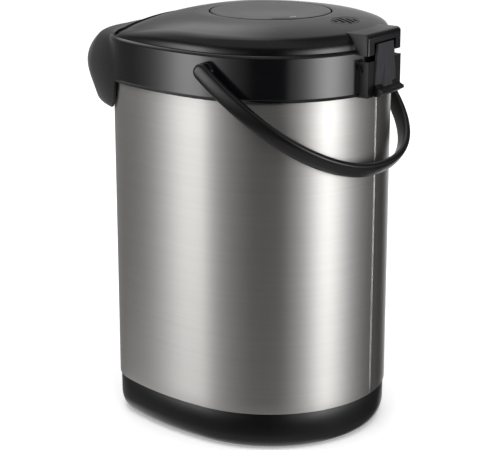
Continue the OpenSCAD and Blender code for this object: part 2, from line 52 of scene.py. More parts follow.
# ---------------------------------------------------------------- camera
def set_camera():
    """Three-quarter view from behind, a little above, as in the photograph."""
    azimuth, elevation = math.radians(123.8), math.radians(16.1)
    back = Vector((math.sin(azimuth) * math.cos(elevation), -math.cos(azimuth) * math.cos(elevation),
                   math.sin(elevation)))
    right = Vector((math.cos(azimuth), math.sin(azimuth), 0))
    data = bpy.data.cameras.new("studio_camera")
    data.lens, data.sensor_width = 1612 * 36 / 500, 36
    data.clip_end = 50
    camera = bpy.data.objects.new("studio_camera", data)
    camera.location = right * -0.018 + Vector((0, 0, 0.1763)) + back * 1.47
    camera.rotation_euler = back.to_track_quat("Z", "Y").to_euler()
    scene.collection.objects.link(camera)
    scene.camera = camera


set_camera()
scene.view_settings.view_transform = "Standard"


# ---------------------------------------------------------------- node maths
class Wire:
    """A socket in plain arithmetic; add() puts in any other node."""

    def __init__(self, tree, socket=None):
        self.tree, self.socket = tree, socket

    def add(self, kind, settings=None, values=None, out=0):
        node = self.tree.nodes.new(kind)
        for key, value in (settings or {}).items():
            if key == "stops":
                ramp = node.color_ramp
                while len(ramp.elements) < len(value):
                    ramp.elements.new(0.5)
                for stop, (place, colour) in zip(ramp.elements, value):
                    stop.position = place
                    stop.color = (*colour, 1) if isinstance(colour, tuple) else (colour, colour, colour, 1)
            else:
                setattr(node, key, value)
        for key, value in (values or {}).items():
            if isinstance(value, Wire):
                self.tree.links.new(value.socket, node.inputs[key])
            else:
                node.inputs[key].default_value = value
        return Wire(self.tree, node.outputs[out]) if len(node.outputs) else node

    def maths(self, operation, *others):
        kind = "ShaderNodeMath"
        return self.add(kind, {"operation": operation}, dict(enumerate((self, *others))))

    def __add__(self, other):
        return self.maths("ADD", other)

    def __sub__(self, other):
        return self.maths("SUBTRACT", other)

    def __rsub__(self, other):
        return (self * -1) + other

    def __mul__(self, other):
        return self.maths("MULTIPLY", other)

    def __truediv__(self, other):
        return self.maths("DIVIDE", other)

    def __rtruediv__(self, other):
        return self.add("ShaderNodeMath", {"operation": "DIVIDE"}, {0: other, 1: self})

    def __pow__(self, other):
        return self.maths("POWER", other)

    __radd__, __rmul__ = __add__, __mul__

    def pick(self, name):
        return Wire(self.tree, self.socket.node.outputs[name])

    def between(self, low, high):
        """0 up to low, 1 from high, smooth in between."""
        return self.add("ShaderNodeMapRange", {"interpolation_type": "SMOOTHSTEP"},
                        {"Value": self, "From Min": low, "From Max": high})

    def mix(self, a, b):
        """Colour a where this is 0, colour b where it is 1."""
        return self.add("ShaderNodeMix", {"data_type": "RGBA"}, {"Factor": self, 6: a, 7: b}, out=2)

    def noise(self, scale, detail=2.0, stretch=(1, 1, 1)):
        place = self.add("ShaderNodeMapping", None, {"Vector": self, "Scale": stretch})
        return self.add("ShaderNodeTexNoise", None, {"Vector": place, "Scale": scale, "Detail": detail})


def shade(colour, factor):
    return tuple(min(1.0, c * factor) for c in colour[:3]) + (1.0,)


def new_finish(name, colour, roughness, **constants):
    """A Principled material with its constant sockets set; returns it with object coordinates and the shader."""
    material = bpy.data.materials.new(name)
    material.use_nodes = True
    tree = material.node_tree
    shader = tree.nodes["Principled BSDF"]
    shader.inputs["Base Color"].default_value = (*colour, 1)
    shader.inputs["Roughness"].default_value = roughness
    for key, value in constants.items():
        shader.inputs[key.replace("_", " ")].default_value = value
    place = Wire(tree).add("ShaderNodeTexCoord", out=3)
    return material, place, shader


def feed(shader, socket, wire):
    wire.tree.links.new(wire.socket, shader.inputs[socket])


def relief(shader, height, strength, distance):
    bump = height.add("ShaderNodeBump", None,
                      {"Height": height, "Strength": strength, "Distance": distance})
    feed(shader, "Normal", bump)


def moulded(name, colour, roughness, grain=0.06, cloud=0.14, smear=0.05, specular=0.5, pits=1400):
    """Injection-moulded plastic: faint flow clouds in the colour, fine grain and handling smears in the gloss."""
    material, place, shader = new_finish(name, colour, roughness, Specular_IOR_Level=specular)
    flow = place.noise(26, 3).between(0.32, 0.7)
    feed(shader, "Base Color", flow.mix(shade(colour, 1 - cloud), shade(colour, 1 + cloud)))
    smears = place.noise(48, 4, (1, 1, 0.4))
    fine = place.noise(pits, 2)
    feed(shader, "Roughness", roughness - smear + smears * (smear * 1.6) + fine * (smear * 0.4))
    relief(shader, fine, grain, 0.00012)
    return material


def brushed(name, colour, roughness, turn, line=1.0, spread=0.75):
    """Brushed sheet: hairlines that run level round the body, in short broken strokes over longer bands."""
    material, place, shader = new_finish(name, colour, roughness, Metallic=1.0, Anisotropic=spread,
                                         Anisotropic_Rotation=turn)
    strokes = place.noise(1, 3, (16, 16, 1900))
    bands = place.noise(1, 2, (5, 5, 330))
    stain = place.noise(9, 3)
    tone = strokes * (0.10 * line) + bands * (0.07 * line) + stain * 0.05 + (0.89 - 0.085 * line)
    feed(shader, "Base Color", tone.between(0.82, 1.0).mix(shade(colour, 0.9), shade(colour, 1.06)))
    feed(shader, "Roughness", roughness - 0.06 + strokes * 0.09 + stain * 0.03)
    relief(shader, strokes, 0.05 * line, 0.00006)
    return material


def cast_metal(name, colour, roughness, metallic=1.0, grain=0.2, size=500):
    material, place, shader = new_finish(name, colour, roughness, Metallic=metallic)
    rough = place.noise(size, 3)
    patch = place.noise(36, 3)
    feed(shader, "Base Color", patch.between(0.3, 0.72).mix(shade(colour, 0.84), shade(colour, 1.1)))
    feed(shader, "Roughness", roughness - 0.07 + rough * 0.08 + patch * 0.07)
    relief(shader, rough, grain, 0.0002)
    return material


def soft_rubber(name, colour, roughness, subsurface=0.0):
    material, place, shader = new_finish(name, colour, roughness, Subsurface_Weight=subsurface,
                                         Subsurface_Scale=0.002)
    dust = place.noise(90, 4).between(0.45, 0.8)
    feed(shader, "Base Color", dust.mix(shade(colour, 0.94), shade(colour, 1.22)))
    feed(shader, "Roughness", roughness - 0.05 + place.noise(300, 2) * 0.1)
    relief(shader, place.noise(900, 3), 0.15, 0.0002)
    return material


def make_finishes():
    f = {}
    f["brushed_wrap"] = brushed("brushed_wrap", (0.60, 0.59, 0.575), 0.43, 0.25, spread=0.9)
    f["charcoal_plastic"] = moulded("charcoal_plastic", (0.0032, 0.0033, 0.0042), 0.17, 0.035, specular=0.6)
    f["lid_plastic"] = moulded("lid_plastic", (0.0032, 0.0032, 0.0038), 0.24, 0.05, specular=0.48)
    f["black_plastic"] = moulded("black_plastic", (0.0035, 0.0035, 0.0038), 0.33, 0.08, specular=0.42)
    f["handle_plastic"] = moulded("handle_plastic", (0.0035, 0.0035, 0.004), 0.3, 0.09, specular=0.5)
    f["slate_plastic"] = moulded("slate_plastic", (0.03, 0.03, 0.036), 0.36, 0.1, specular=0.5)
    f["lock_grey"] = moulded("lock_grey", (0.32, 0.32, 0.33), 0.36, 0.08)
    f["black_rubber"] = soft_rubber("black_rubber", (0.014, 0.014, 0.014), 0.75)
    f["plain_steel"] = cast_metal("plain_steel", (0.62, 0.62, 0.61), 0.27, grain=0.06, size=900)
    f["inner_steel"] = brushed("inner_steel", (0.66, 0.65, 0.63), 0.24, 0.25, line=0.5, spread=0.5)
    f["pale_silicone"] = soft_rubber("pale_silicone", (0.62, 0.61, 0.56), 0.55, 0.15)
    f["cast_heater"] = cast_metal("cast_heater", (0.45, 0.45, 0.43), 0.5, grain=0.5, size=420)
    f["band_brass"] = cast_metal("band_brass", (0.55, 0.42, 0.2), 0.35, grain=0.12)

    material, place, shader = new_finish("felt_wrap", (0.68, 0.65, 0.55), 0.95, Sheen_Weight=0.4)
    tuft = place.noise(700, 5)
    feed(shader, "Base Color", tuft.between(0.3, 0.7).mix((0.5, 0.47, 0.38, 1), (0.74, 0.71, 0.62, 1)))
    relief(shader, tuft, 0.7, 0.0006)
    f["felt_wrap"] = material

    material, place, shader = new_finish("clear_glass", (0.9, 0.95, 0.96), 0.06, Transmission_Weight=0.92, IOR=1.49)
    feed(shader, "Roughness", 0.03 + place.noise(60, 3) * 0.07)
    f["clear_glass"] = material

    material, place, shader = new_finish("amber_lens", (0.85, 0.28, 0.05), 0.2, Subsurface_Weight=0.3,
                                         Subsurface_Scale=0.001)
    feed(shader, "Base Color", place.noise(500, 2).mix((0.7, 0.2, 0.03, 1), (0.95, 0.38, 0.09, 1)))
    f["amber_lens"] = material

    material, place, shader = new_finish("board_green", (0.03, 0.2, 0.08), 0.4)
    weave = place.noise(1200, 2).between(0.35, 0.65)
    feed(shader, "Base Color", weave.mix((0.02, 0.15, 0.06, 1), (0.035, 0.24, 0.1, 1)))
    f["board_green"] = material
    return f


FINISH = make_finishes()


# ---------------------------------------------------------------- plan outlines, in millimetres
BODY_R, FLANK_R, NOSE_R = 107.0, 280.0, 51.0
FLANK_TURN, CORNER_TURN, HOOD_TURN = 20.0, 63.0, 32.0
STEEL_Z1, SPLIT_Z = 313.5, 349.0
LID_Z0, SHOULDER_Z, RIM_Z, NOSE_FALL, LID_INNER_R = 349.3, 365.2, 372.5, 0.0013, 50.0
LID_FRONT_Y, GAP_Y = -110.5, -111.3
WELL_R, PUMP_R = 54.4, 53.2
PIN_Y, PIN_Z, BLOCK_Y = 109.3, 335.5, 115.5
HINGE_HALF, LEVER_HALF, LEVER_GAP = 28.0, 17.3, 1.0
WELL_FLOOR, PLATE_FLOOR = 352.5, 368.8
VENT_Y, VENT_R, VENT_OFFSET, VENT_LEAN = 76.0, 24.0, 14.0, -19.0
NOZZLE_Y = -149.5
FEET_AT = ((58, 45), (42, -84))
SCREWS_AT = ((72.9, 51.0), (66.7, -100.4))


def unit(degrees):
    a = np.radians(degrees)
    return np.stack([np.cos(a), np.sin(a)], -1)


FLANK_C = np.array([BODY_R - FLANK_R, 0.0])
CORNER_C = FLANK_C + (FLANK_R - NOSE_R) * unit(-FLANK_TURN)
FRONT_R = NOSE_R + CORNER_C[0] / math.cos(math.radians(CORNER_TURN))
FRONT_C = np.array([0.0, CORNER_C[1] + (FRONT_R - NOSE_R) * math.sin(math.radians(CORNER_TURN))])
FRONT_Y = FRONT_C[1] - FRONT_R
TIP_R = FLANK_R - (FLANK_R - BODY_R) / math.cos(math.radians(HOOD_TURN))
TIP_C = np.array([0.0, -(FLANK_R - TIP_R) * math.sin(math.radians(HOOD_TURN))])

# each arc: centre, radius, the direction at which it ends on the way from the rear (90) to the front (-90)
BODY_ARCS = ((np.zeros(2), BODY_R, 0.0), (FLANK_C, FLANK_R, -FLANK_TURN), (CORNER_C, NOSE_R, -CORNER_TURN),
             (FRONT_C, FRONT_R, -90.0))
HOOD_ARCS = ((np.zeros(2), BODY_R, 0.0), (FLANK_C, FLANK_R, -HOOD_TURN), (TIP_C, TIP_R, -90.0))


def half_plan(arcs, q, inset):
    """Points of the right half outline for directions q, that far inside it."""
    q = np.asarray(q, float)
    inset = np.broadcast_to(inset, q.shape)
    centre, radius, done = np.zeros(q.shape + (2,)), np.zeros(q.shape), np.zeros(q.shape, bool)
    for c, r, end in arcs:
        here = ~done & (q >= end - 1e-9)
        centre[here], radius[here] = c, r
        done |= here
    return centre + (radius - inset)[..., None] * unit(q)


def plan(arcs, angles, inset=0.0):
    """The same all the way round; angles run from 90 at the rear down to -270, back at the rear."""
    angles = np.asarray(angles, float)
    left = angles < -90
    p = half_plan(arcs, np.where(left, -180 - angles, angles), inset)
    p[..., 0] *= np.where(left, -1, 1)
    return p


def round_body(extra=()):
    """Directions all the way round, closer together where the outline turns fast."""
    half = np.concatenate([np.linspace(90, 0, 73), np.linspace(0, -20, 21)[1:], np.linspace(-20, -63, 25)[1:],
                           np.linspace(-63, -90, 15)[1:]])
    full = np.concatenate([half, (-180 - half[::-1])[1:-1]])
    return np.array(sorted(set(np.round(np.concatenate([full, extra]), 4)), reverse=True))


def ring(arcs, angles, inset, z):
    p = plan(arcs, angles, inset)
    return np.dstack([p[..., 0], p[..., 1], np.broadcast_to(z, p.shape[:-1])])[0]


def inset_of(arcs, points):
    """How far points of the right half lie inside an outline, and the direction there."""
    best = np.full(len(points), -1e9)
    way = np.zeros(len(points))
    start = 90.0
    for c, r, end in arcs:
        d = points - c
        q = np.degrees(np.arctan2(d[:, 1], d[:, 0]))
        inside = (q <= start + 1e-6) & (q >= end - 1e-6)
        depth = r - np.hypot(d[:, 0], d[:, 1])
        best[inside], way[inside] = depth[inside], q[inside]
        start = end
    return best, way


def smooth_steps(xs, ys, x, first=None, last=None):
    """Monotone cubic through the points."""
    xs, ys = np.asarray(xs, float), np.asarray(ys, float)
    h, s = np.diff(xs), np.diff(ys) / np.diff(xs)
    m = np.zeros(len(xs))
    for k in range(1, len(xs) - 1):
        if s[k - 1] * s[k] > 0:
            w1, w2 = 2 * h[k] + h[k - 1], h[k] + 2 * h[k - 1]
            m[k] = (w1 + w2) / (w1 / s[k - 1] + w2 / s[k])
    m[0] = s[0] if first is None else first
    m[-1] = s[-1] if last is None else last
    x = np.clip(x, xs[0], xs[-1])
    k = np.clip(np.searchsorted(xs, x, side="right") - 1, 0, len(h) - 1)
    t = (x - xs[k]) / h[k]
    return ((1 + 2 * t) * (1 - t) ** 2 * ys[k] + t * (1 - t) ** 2 * h[k] * m[k]
            + t * t * (3 - 2 * t) * ys[k + 1] + t * t * (t - 1) * h[k] * m[k + 1])


# ---------------------------------------------------------------- lid surface
def side_share(inset):
    """Share of the lid's side height at an inset from the outline."""
    return smooth_steps([1, 1.3, 2.8, 5.8, 10.5], [0, 0.3, 0.6, 0.85, 1], inset, last=0.02)


def crown_share(t):
    return smooth_steps([0, 0.22, 0.45, 0.7, 0.85, 1], [0, 0.42, 0.72, 0.92, 1, 1], t, first=2.2, last=0.0)


def fall(y):
    return np.minimum(14, NOSE_FALL * np.maximum(0, -y - 20) ** 2)


def crown_place(points):
    """Share t of the way from the shoulder to the pump's rim, for points inside the shoulder."""
    p = np.column_stack([np.abs(points[:, 0]), points[:, 1]])
    low, high = np.full(len(p), -90.0), np.full(len(p), 90.0)
    for _ in range(40):
        q = (low + high) / 2
        o, c = half_plan(BODY_ARCS, q, 10.5), LID_INNER_R * unit(q)
        side = (c - o)[:, 0] * (p - o)[:, 1] - (c - o)[:, 1] * (p - o)[:, 0]
        low, high = np.where(side < 0, q, low), np.where(side < 0, high, q)
    t = ((p - o) * (c - o)).sum(1) / ((c - o) ** 2).sum(1)
    return t


def lid_height(points):
    """Height of the lid's skin; far below outside its outline."""
    points = np.atleast_2d(np.asarray(points, float))[:, :2]
    right = np.column_stack([np.abs(points[:, 0]), points[:, 1]])
    depth, _ = inset_of(BODY_ARCS, right)
    drop = fall(points[:, 1])
    share = side_share(depth)
    side = LID_Z0 + share * (SHOULDER_Z - LID_Z0 - drop)
    t = np.clip(crown_place(points), 0, 1)
    crown = SHOULDER_Z + crown_share(t) * (RIM_Z - SHOULDER_Z) - (1 - t) * drop
    z = np.where(depth < 10.5, side, crown)
    return np.where(depth < 1, 300.0, z)


# ---------------------------------------------------------------- mesh tools
def dress(obj, body, finish, nodes=()):
    """Gives a made piece its finish and its place in the frame."""
    obj.data.materials.clear()
    obj.data.materials.append(FINISH[finish])
    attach(obj, body)
    if nodes:
        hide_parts(*nodes)
    return obj


def finish_piece(obj, body, finish, nodes=(), angle=38):
    """Smooth shading, sharp only where faces meet steeply, then finish and place."""
    obj.data.shade_smooth()
    obj.data.set_sharp_from_angle(angle=math.radians(angle))
    return dress(obj, body, finish, nodes)


def clean(mesh, merge):
    """Merges close points and turns every face outwards."""
    bm = bmesh.new()
    bm.from_mesh(mesh)
    bmesh.ops.remove_doubles(bm, verts=bm.verts, dist=merge)
    bmesh.ops.dissolve_degenerate(bm, edges=bm.edges, dist=merge / 2)
    bmesh.ops.recalc_face_normals(bm, faces=bm.faces)
    bm.to_mesh(mesh)
    bm.free()


def raw(name, verts, faces, merge=1e-6):
    """Mesh object from points in millimetres, merged and turned outwards."""
    mesh = bpy.data.meshes.new(name)
    mesh.from_pydata((np.asarray(verts, float) * MM).tolist(), [], [list(map(int, f)) for f in faces])
    clean(mesh, merge)
    obj = bpy.data.objects.new(name, mesh)
    scene.collection.objects.link(obj)
    return obj


def loops(rings, closed=True):
    """Quads between rings of equal count; closed joins the last ring to the first, or else both ends are capped."""
    rings = [np.asarray(r, float) for r in rings]
    n, m = len(rings[0]), len(rings)
    faces = []
    for k in range(m if closed else m - 1):
        a, b = k * n, ((k + 1) % m) * n
        faces += [(a + i, a + (i + 1) % n, b + (i + 1) % n, b + i) for i in range(n)]
    if not closed:
        faces += [tuple(range(n - 1, -1, -1)), tuple((m - 1) * n + i for i in range(n))]
    return np.concatenate(rings), faces


def lathe(profile, centre=(0, 0), n=128, axis="Z", closed=True):
    """Turned solid from (radius, place along the axis) points."""
    a = np.linspace(0, 2 * math.pi, n, endpoint=False)
    rings = []
    for r, z in profile:
        c, s = r * np.cos(a), r * np.sin(a)
        if axis == "Z":
            rings.append(np.column_stack([centre[0] + c, centre[1] + s, np.full(n, z)]))
        elif axis == "X":
            rings.append(np.column_stack([np.full(n, z), centre[0] + c, centre[1] + s]))
        else:
            rings.append(np.column_stack([centre[0] + c, np.full(n, z), centre[1] + s]))
    return loops(rings, closed)


def slab_of(points, axis, low, high):
    """Straight prism on a closed outline, along an axis."""
    points = np.asarray(points, float)
    ends = []
    for level in (low, high):
        level = np.full(len(points), level)
        columns = {"Z": (points[:, 0], points[:, 1], level), "X": (level, points[:, 0], points[:, 1]),
                   "Y": (points[:, 0], level, points[:, 1])}[axis]
        ends.append(np.column_stack(columns))
    return loops(ends, closed=False)


def brick(a, b):
    return slab_of([(a[0], a[1]), (b[0], a[1]), (b[0], b[1]), (a[0], b[1])], "Z", a[2], b[2])


def gather(*parts):
    """Several (verts, faces) as one."""
    verts, faces, start = [], [], 0
    for v, f in parts:
        verts.append(v)
        faces += [tuple(i + start for i in face) for face in f]
        start += len(v)
    return np.concatenate(verts), faces


def mirrored(part):
    v, f = part
    flipped = v.copy()
    flipped[:, 0] *= -1
    return gather(part, (flipped, [tuple(reversed(face)) for face in f]))


def grid_shell(points, keep, depth):
    """Closed shell from an (m, n, 3) grid of points: kept cells, an inner copy, and walls round the edge."""
    m, n = points.shape[:2]
    du, dv = np.gradient(points, axis=1), np.gradient(points, axis=0)
    normal = np.cross(du, dv)
    length = np.linalg.norm(normal, axis=-1, keepdims=True)
    normal = normal / np.maximum(length, 1e-9)
    inner = points - normal * np.asarray(depth)[..., None] if np.ndim(depth) else points - normal * depth
    faces = []
    back = m * n

    def at(i, j):
        return i * n + j

    for i in range(m - 1):
        for j in range(n - 1):
            if not keep[i, j]:
                continue
            quad = [at(i, j), at(i, j + 1), at(i + 1, j + 1), at(i + 1, j)]
            faces.append(tuple(quad))
            faces.append(tuple(back + k for k in reversed(quad)))
            for di, dj, a, b in ((-1, 0, quad[0], quad[1]), (1, 0, quad[2], quad[3]),
                                 (0, -1, quad[3], quad[0]), (0, 1, quad[1], quad[2])):
                u, v = i + di, j + dj
                if not (0 <= u < m - 1 and 0 <= v < n - 1 and keep[u, v]):
                    faces.append((b, a, back + a, back + b))
    return np.concatenate([points.reshape(-1, 3), inner.reshape(-1, 3)]), faces


def settle(obj):
    """Applies every modifier into a plain mesh."""
    bpy.context.view_layer.update()
    mesh = bpy.data.meshes.new_from_object(obj.evaluated_get(bpy.context.evaluated_depsgraph_get()))
    obj.modifiers.clear()
    obj.data = mesh
    return obj


def carve(obj, *parts, join=False):
    """Cuts parts out of a piece, or joins them to it."""
    for k, part in enumerate(parts):
        cutter = raw(f"{obj.name}_cutter_{k}", *part)
        modifier = obj.modifiers.new("carve", "BOOLEAN")
        modifier.operation = "UNION" if join else "DIFFERENCE"
        modifier.solver = "EXACT"
        modifier.object = cutter
        settle(obj)
        bpy.data.objects.remove(cutter)
    return obj


def ease(obj, width, segments=3, angle=35):
    """Rounds every hard edge by width millimetres and levels the flats."""
    bm = bmesh.new()
    bm.from_mesh(obj.data)
    bmesh.ops.remove_doubles(bm, verts=bm.verts, dist=2e-6)
    bmesh.ops.dissolve_limit(bm, angle_limit=math.radians(0.5), verts=bm.verts, edges=bm.edges)
    bm.to_mesh(obj.data)
    bm.free()
    bevel = obj.modifiers.new("ease", "BEVEL")
    bevel.width, bevel.segments, bevel.limit_method = width * MM, segments, "ANGLE"
    bevel.angle_limit, bevel.miter_outer = math.radians(angle), "MITER_ARC"
    bevel.harden_normals = False
    obj.data.shade_smooth()
    level = obj.modifiers.new("level", "WEIGHTED_NORMAL")
    level.keep_sharp, level.weight = True, 90
    return settle(obj)


def round_edges(obj, width, chosen, merge=0.0):
    """Bevels the edges that a test picks, by width millimetres."""
    bm = bmesh.new()
    bm.from_mesh(obj.data)
    if merge:
        bmesh.ops.remove_doubles(bm, verts=bm.verts, dist=merge)
    edges = [e for e in bm.edges if len(e.link_faces) == 2 and chosen(e)]
    bmesh.ops.bevel(bm, geom=edges, offset=width * MM, segments=3, profile=0.5, affect="EDGES", clamp_overlap=True)
    bm.to_mesh(obj.data)
    bm.free()


def block_piece(name, body, finish, nodes, width, add, cut=(), segments=3, angle=35):
    """A piece made of joined and cut straight forms, with every edge rounded."""
    obj = raw(name, *add[0])
    carve(obj, *add[1:], join=True)
    carve(obj, *cut)
    return dress(ease(obj, width, segments, angle), body, finish, nodes)


def simple(name, body, finish, nodes, part, angle=38):
    return finish_piece(raw(name, *part), body, finish, nodes, angle)


# ---------------------------------------------------------------- brushed wrap
def build_wrap():
    """Rolled sheet with a turned hem, a lock seam at the rear, and a window behind the front panel."""
    fold = np.array([-0.6, -0.9, -1.05, -1.3, -4.3, -4.7, -5.0, -5.4])
    angles = round_body(-270 + np.degrees(np.arcsin(-fold / BODY_R)))
    x = plan(BODY_ARCS, angles)[:, 0]
    rear = plan(BODY_ARCS, angles)[:, 1] > 0
    raised = np.interp(x, fold[::-1], [0, 0.35, 0.62, 0.7, 0.7, 0.55, 0.1, 0]) * rear
    levels = [(2.6, 35.7), (2.6, 35.0), (2.3, 34.72), (1.0, 34.7), (0.45, 34.78), (0.12, 35.05), (0, 35.5),
              (0, 46), (0, 160), (0, 280), (0, 313.0), (0.15, 313.35), (0.45, 313.5), (0.75, 313.4),
              (0.8, 313.0), (0.8, 46), (0.8, 36.4), (1.1, 35.8)]
    rings = [ring(BODY_ARCS, angles, inset - raised * (0 if z < 36 else 1), z) for inset, z in levels]
    wrap = raw("brushed_wrap", *loops(rings))
    carve(wrap, brick((-36, FRONT_Y - 5, 46), (36, FRONT_Y + 30, 280)))
    finish_piece(wrap, "pot", "brushed_wrap", ["steel_shell"], angle=30)


# ---------------------------------------------------------------- shoulder and spout hood
HOOD_Z = np.array([287, 290, 296, 303, 312, 321, 330, 337.5, 343.5, 347.5, 350.5, 352])
HOOD_NOSE = np.array([28, 20, 12.5, 6.5, 1.8, 0.6, 3.5, 9.5, 19, 31, 44, 56.0])
HOOD_FLANK = np.array([0, 0, 0, 0, 0, 0, 0, 0, 0.2, 1, 7, 16.0])
CREASE = 1.2  # width over which the hood runs into the collar


def hood_curve(places):
    """The nose and flank insets as one smooth curve; places run from 0 at the bottom to 1 at the top."""
    s = np.concatenate([[0], np.cumsum(np.hypot(np.diff(HOOD_NOSE), np.diff(HOOD_Z)))])
    s /= s[-1]
    n = len(s)
    system = np.zeros((n, n))
    h = np.diff(s)
    system[0, 0] = system[-1, -1] = 1
    for k in range(1, n - 1):
        system[k, k - 1:k + 2] = h[k - 1], 2 * (h[k - 1] + h[k]), h[k]
    out = []
    for values in (HOOD_NOSE, HOOD_Z, HOOD_FLANK):
        right = np.zeros(n)
        right[1:-1] = 6 * (np.diff(values)[1:] / h[1:] - np.diff(values)[:-1] / h[:-1])
        curve = np.linalg.solve(system, right)
        k = np.clip(np.searchsorted(s, places, side="right") - 1, 0, n - 2)
        a, b = (s[k + 1] - places) / h[k], (places - s[k]) / h[k]
        out.append(a * values[k] + b * values[k + 1]
                   + ((a ** 3 - a) * curve[k] + (b ** 3 - b) * curve[k + 1]) * h[k] ** 2 / 6)
    return out


def nose_share(q):
    return np.where(q > -10, 0, np.sin(np.radians(np.minimum(90, (-q - 10) * 90 / 62))) ** 2)


FINE_NOSE, FINE_Z, FINE_FLANK = hood_curve(np.linspace(0, 1, 1500))
FINE_NOSE = np.maximum(FINE_NOSE, 0)
FINE_FLANK = np.maximum.accumulate(np.maximum(FINE_FLANK, 0))


def hood_inset(q, z):
    """Inset of the hood's skin from its plan outline at direction q and height z."""
    nose, flank = np.interp(z, FINE_Z, FINE_NOSE), np.interp(z, FINE_Z, FINE_FLANK)
    return flank + (nose - flank) * nose_share(q)


def hood_top(points):
    """Height of the hood's top over points of the right half."""
    depth, q = inset_of(HOOD_ARCS, points)
    z = np.zeros(len(points))
    upper = FINE_Z > 312
    for i in range(len(points)):
        share = nose_share(q[i])
        insets = FINE_FLANK[upper] + (FINE_NOSE[upper] - FINE_FLANK[upper]) * share
        z[i] = np.interp(depth[i], insets, FINE_Z[upper])
    return z


def soft_max(a, b, width):
    h = np.clip(0.5 + 0.5 * (a - b) / width, 0, 1)
    return b + (a - b) * h + width * h * (1 - h) * 0.5


def body_depth(q, offset):
    """Inset from the hood's outline at which direction q meets the body's outline, moved out by offset."""
    depth = np.linspace(-2, 60, 1241)
    out = np.zeros(len(q))
    for i, way in enumerate(q):
        p = half_plan(HOOD_ARCS, np.full(len(depth), way), depth)
        inside, _ = inset_of(BODY_ARCS, p)
        inside = np.where(inside < -1e8, -50, inside)
        hit = np.argmax(inside > -offset)
        out[i] = depth[hit]
    return out


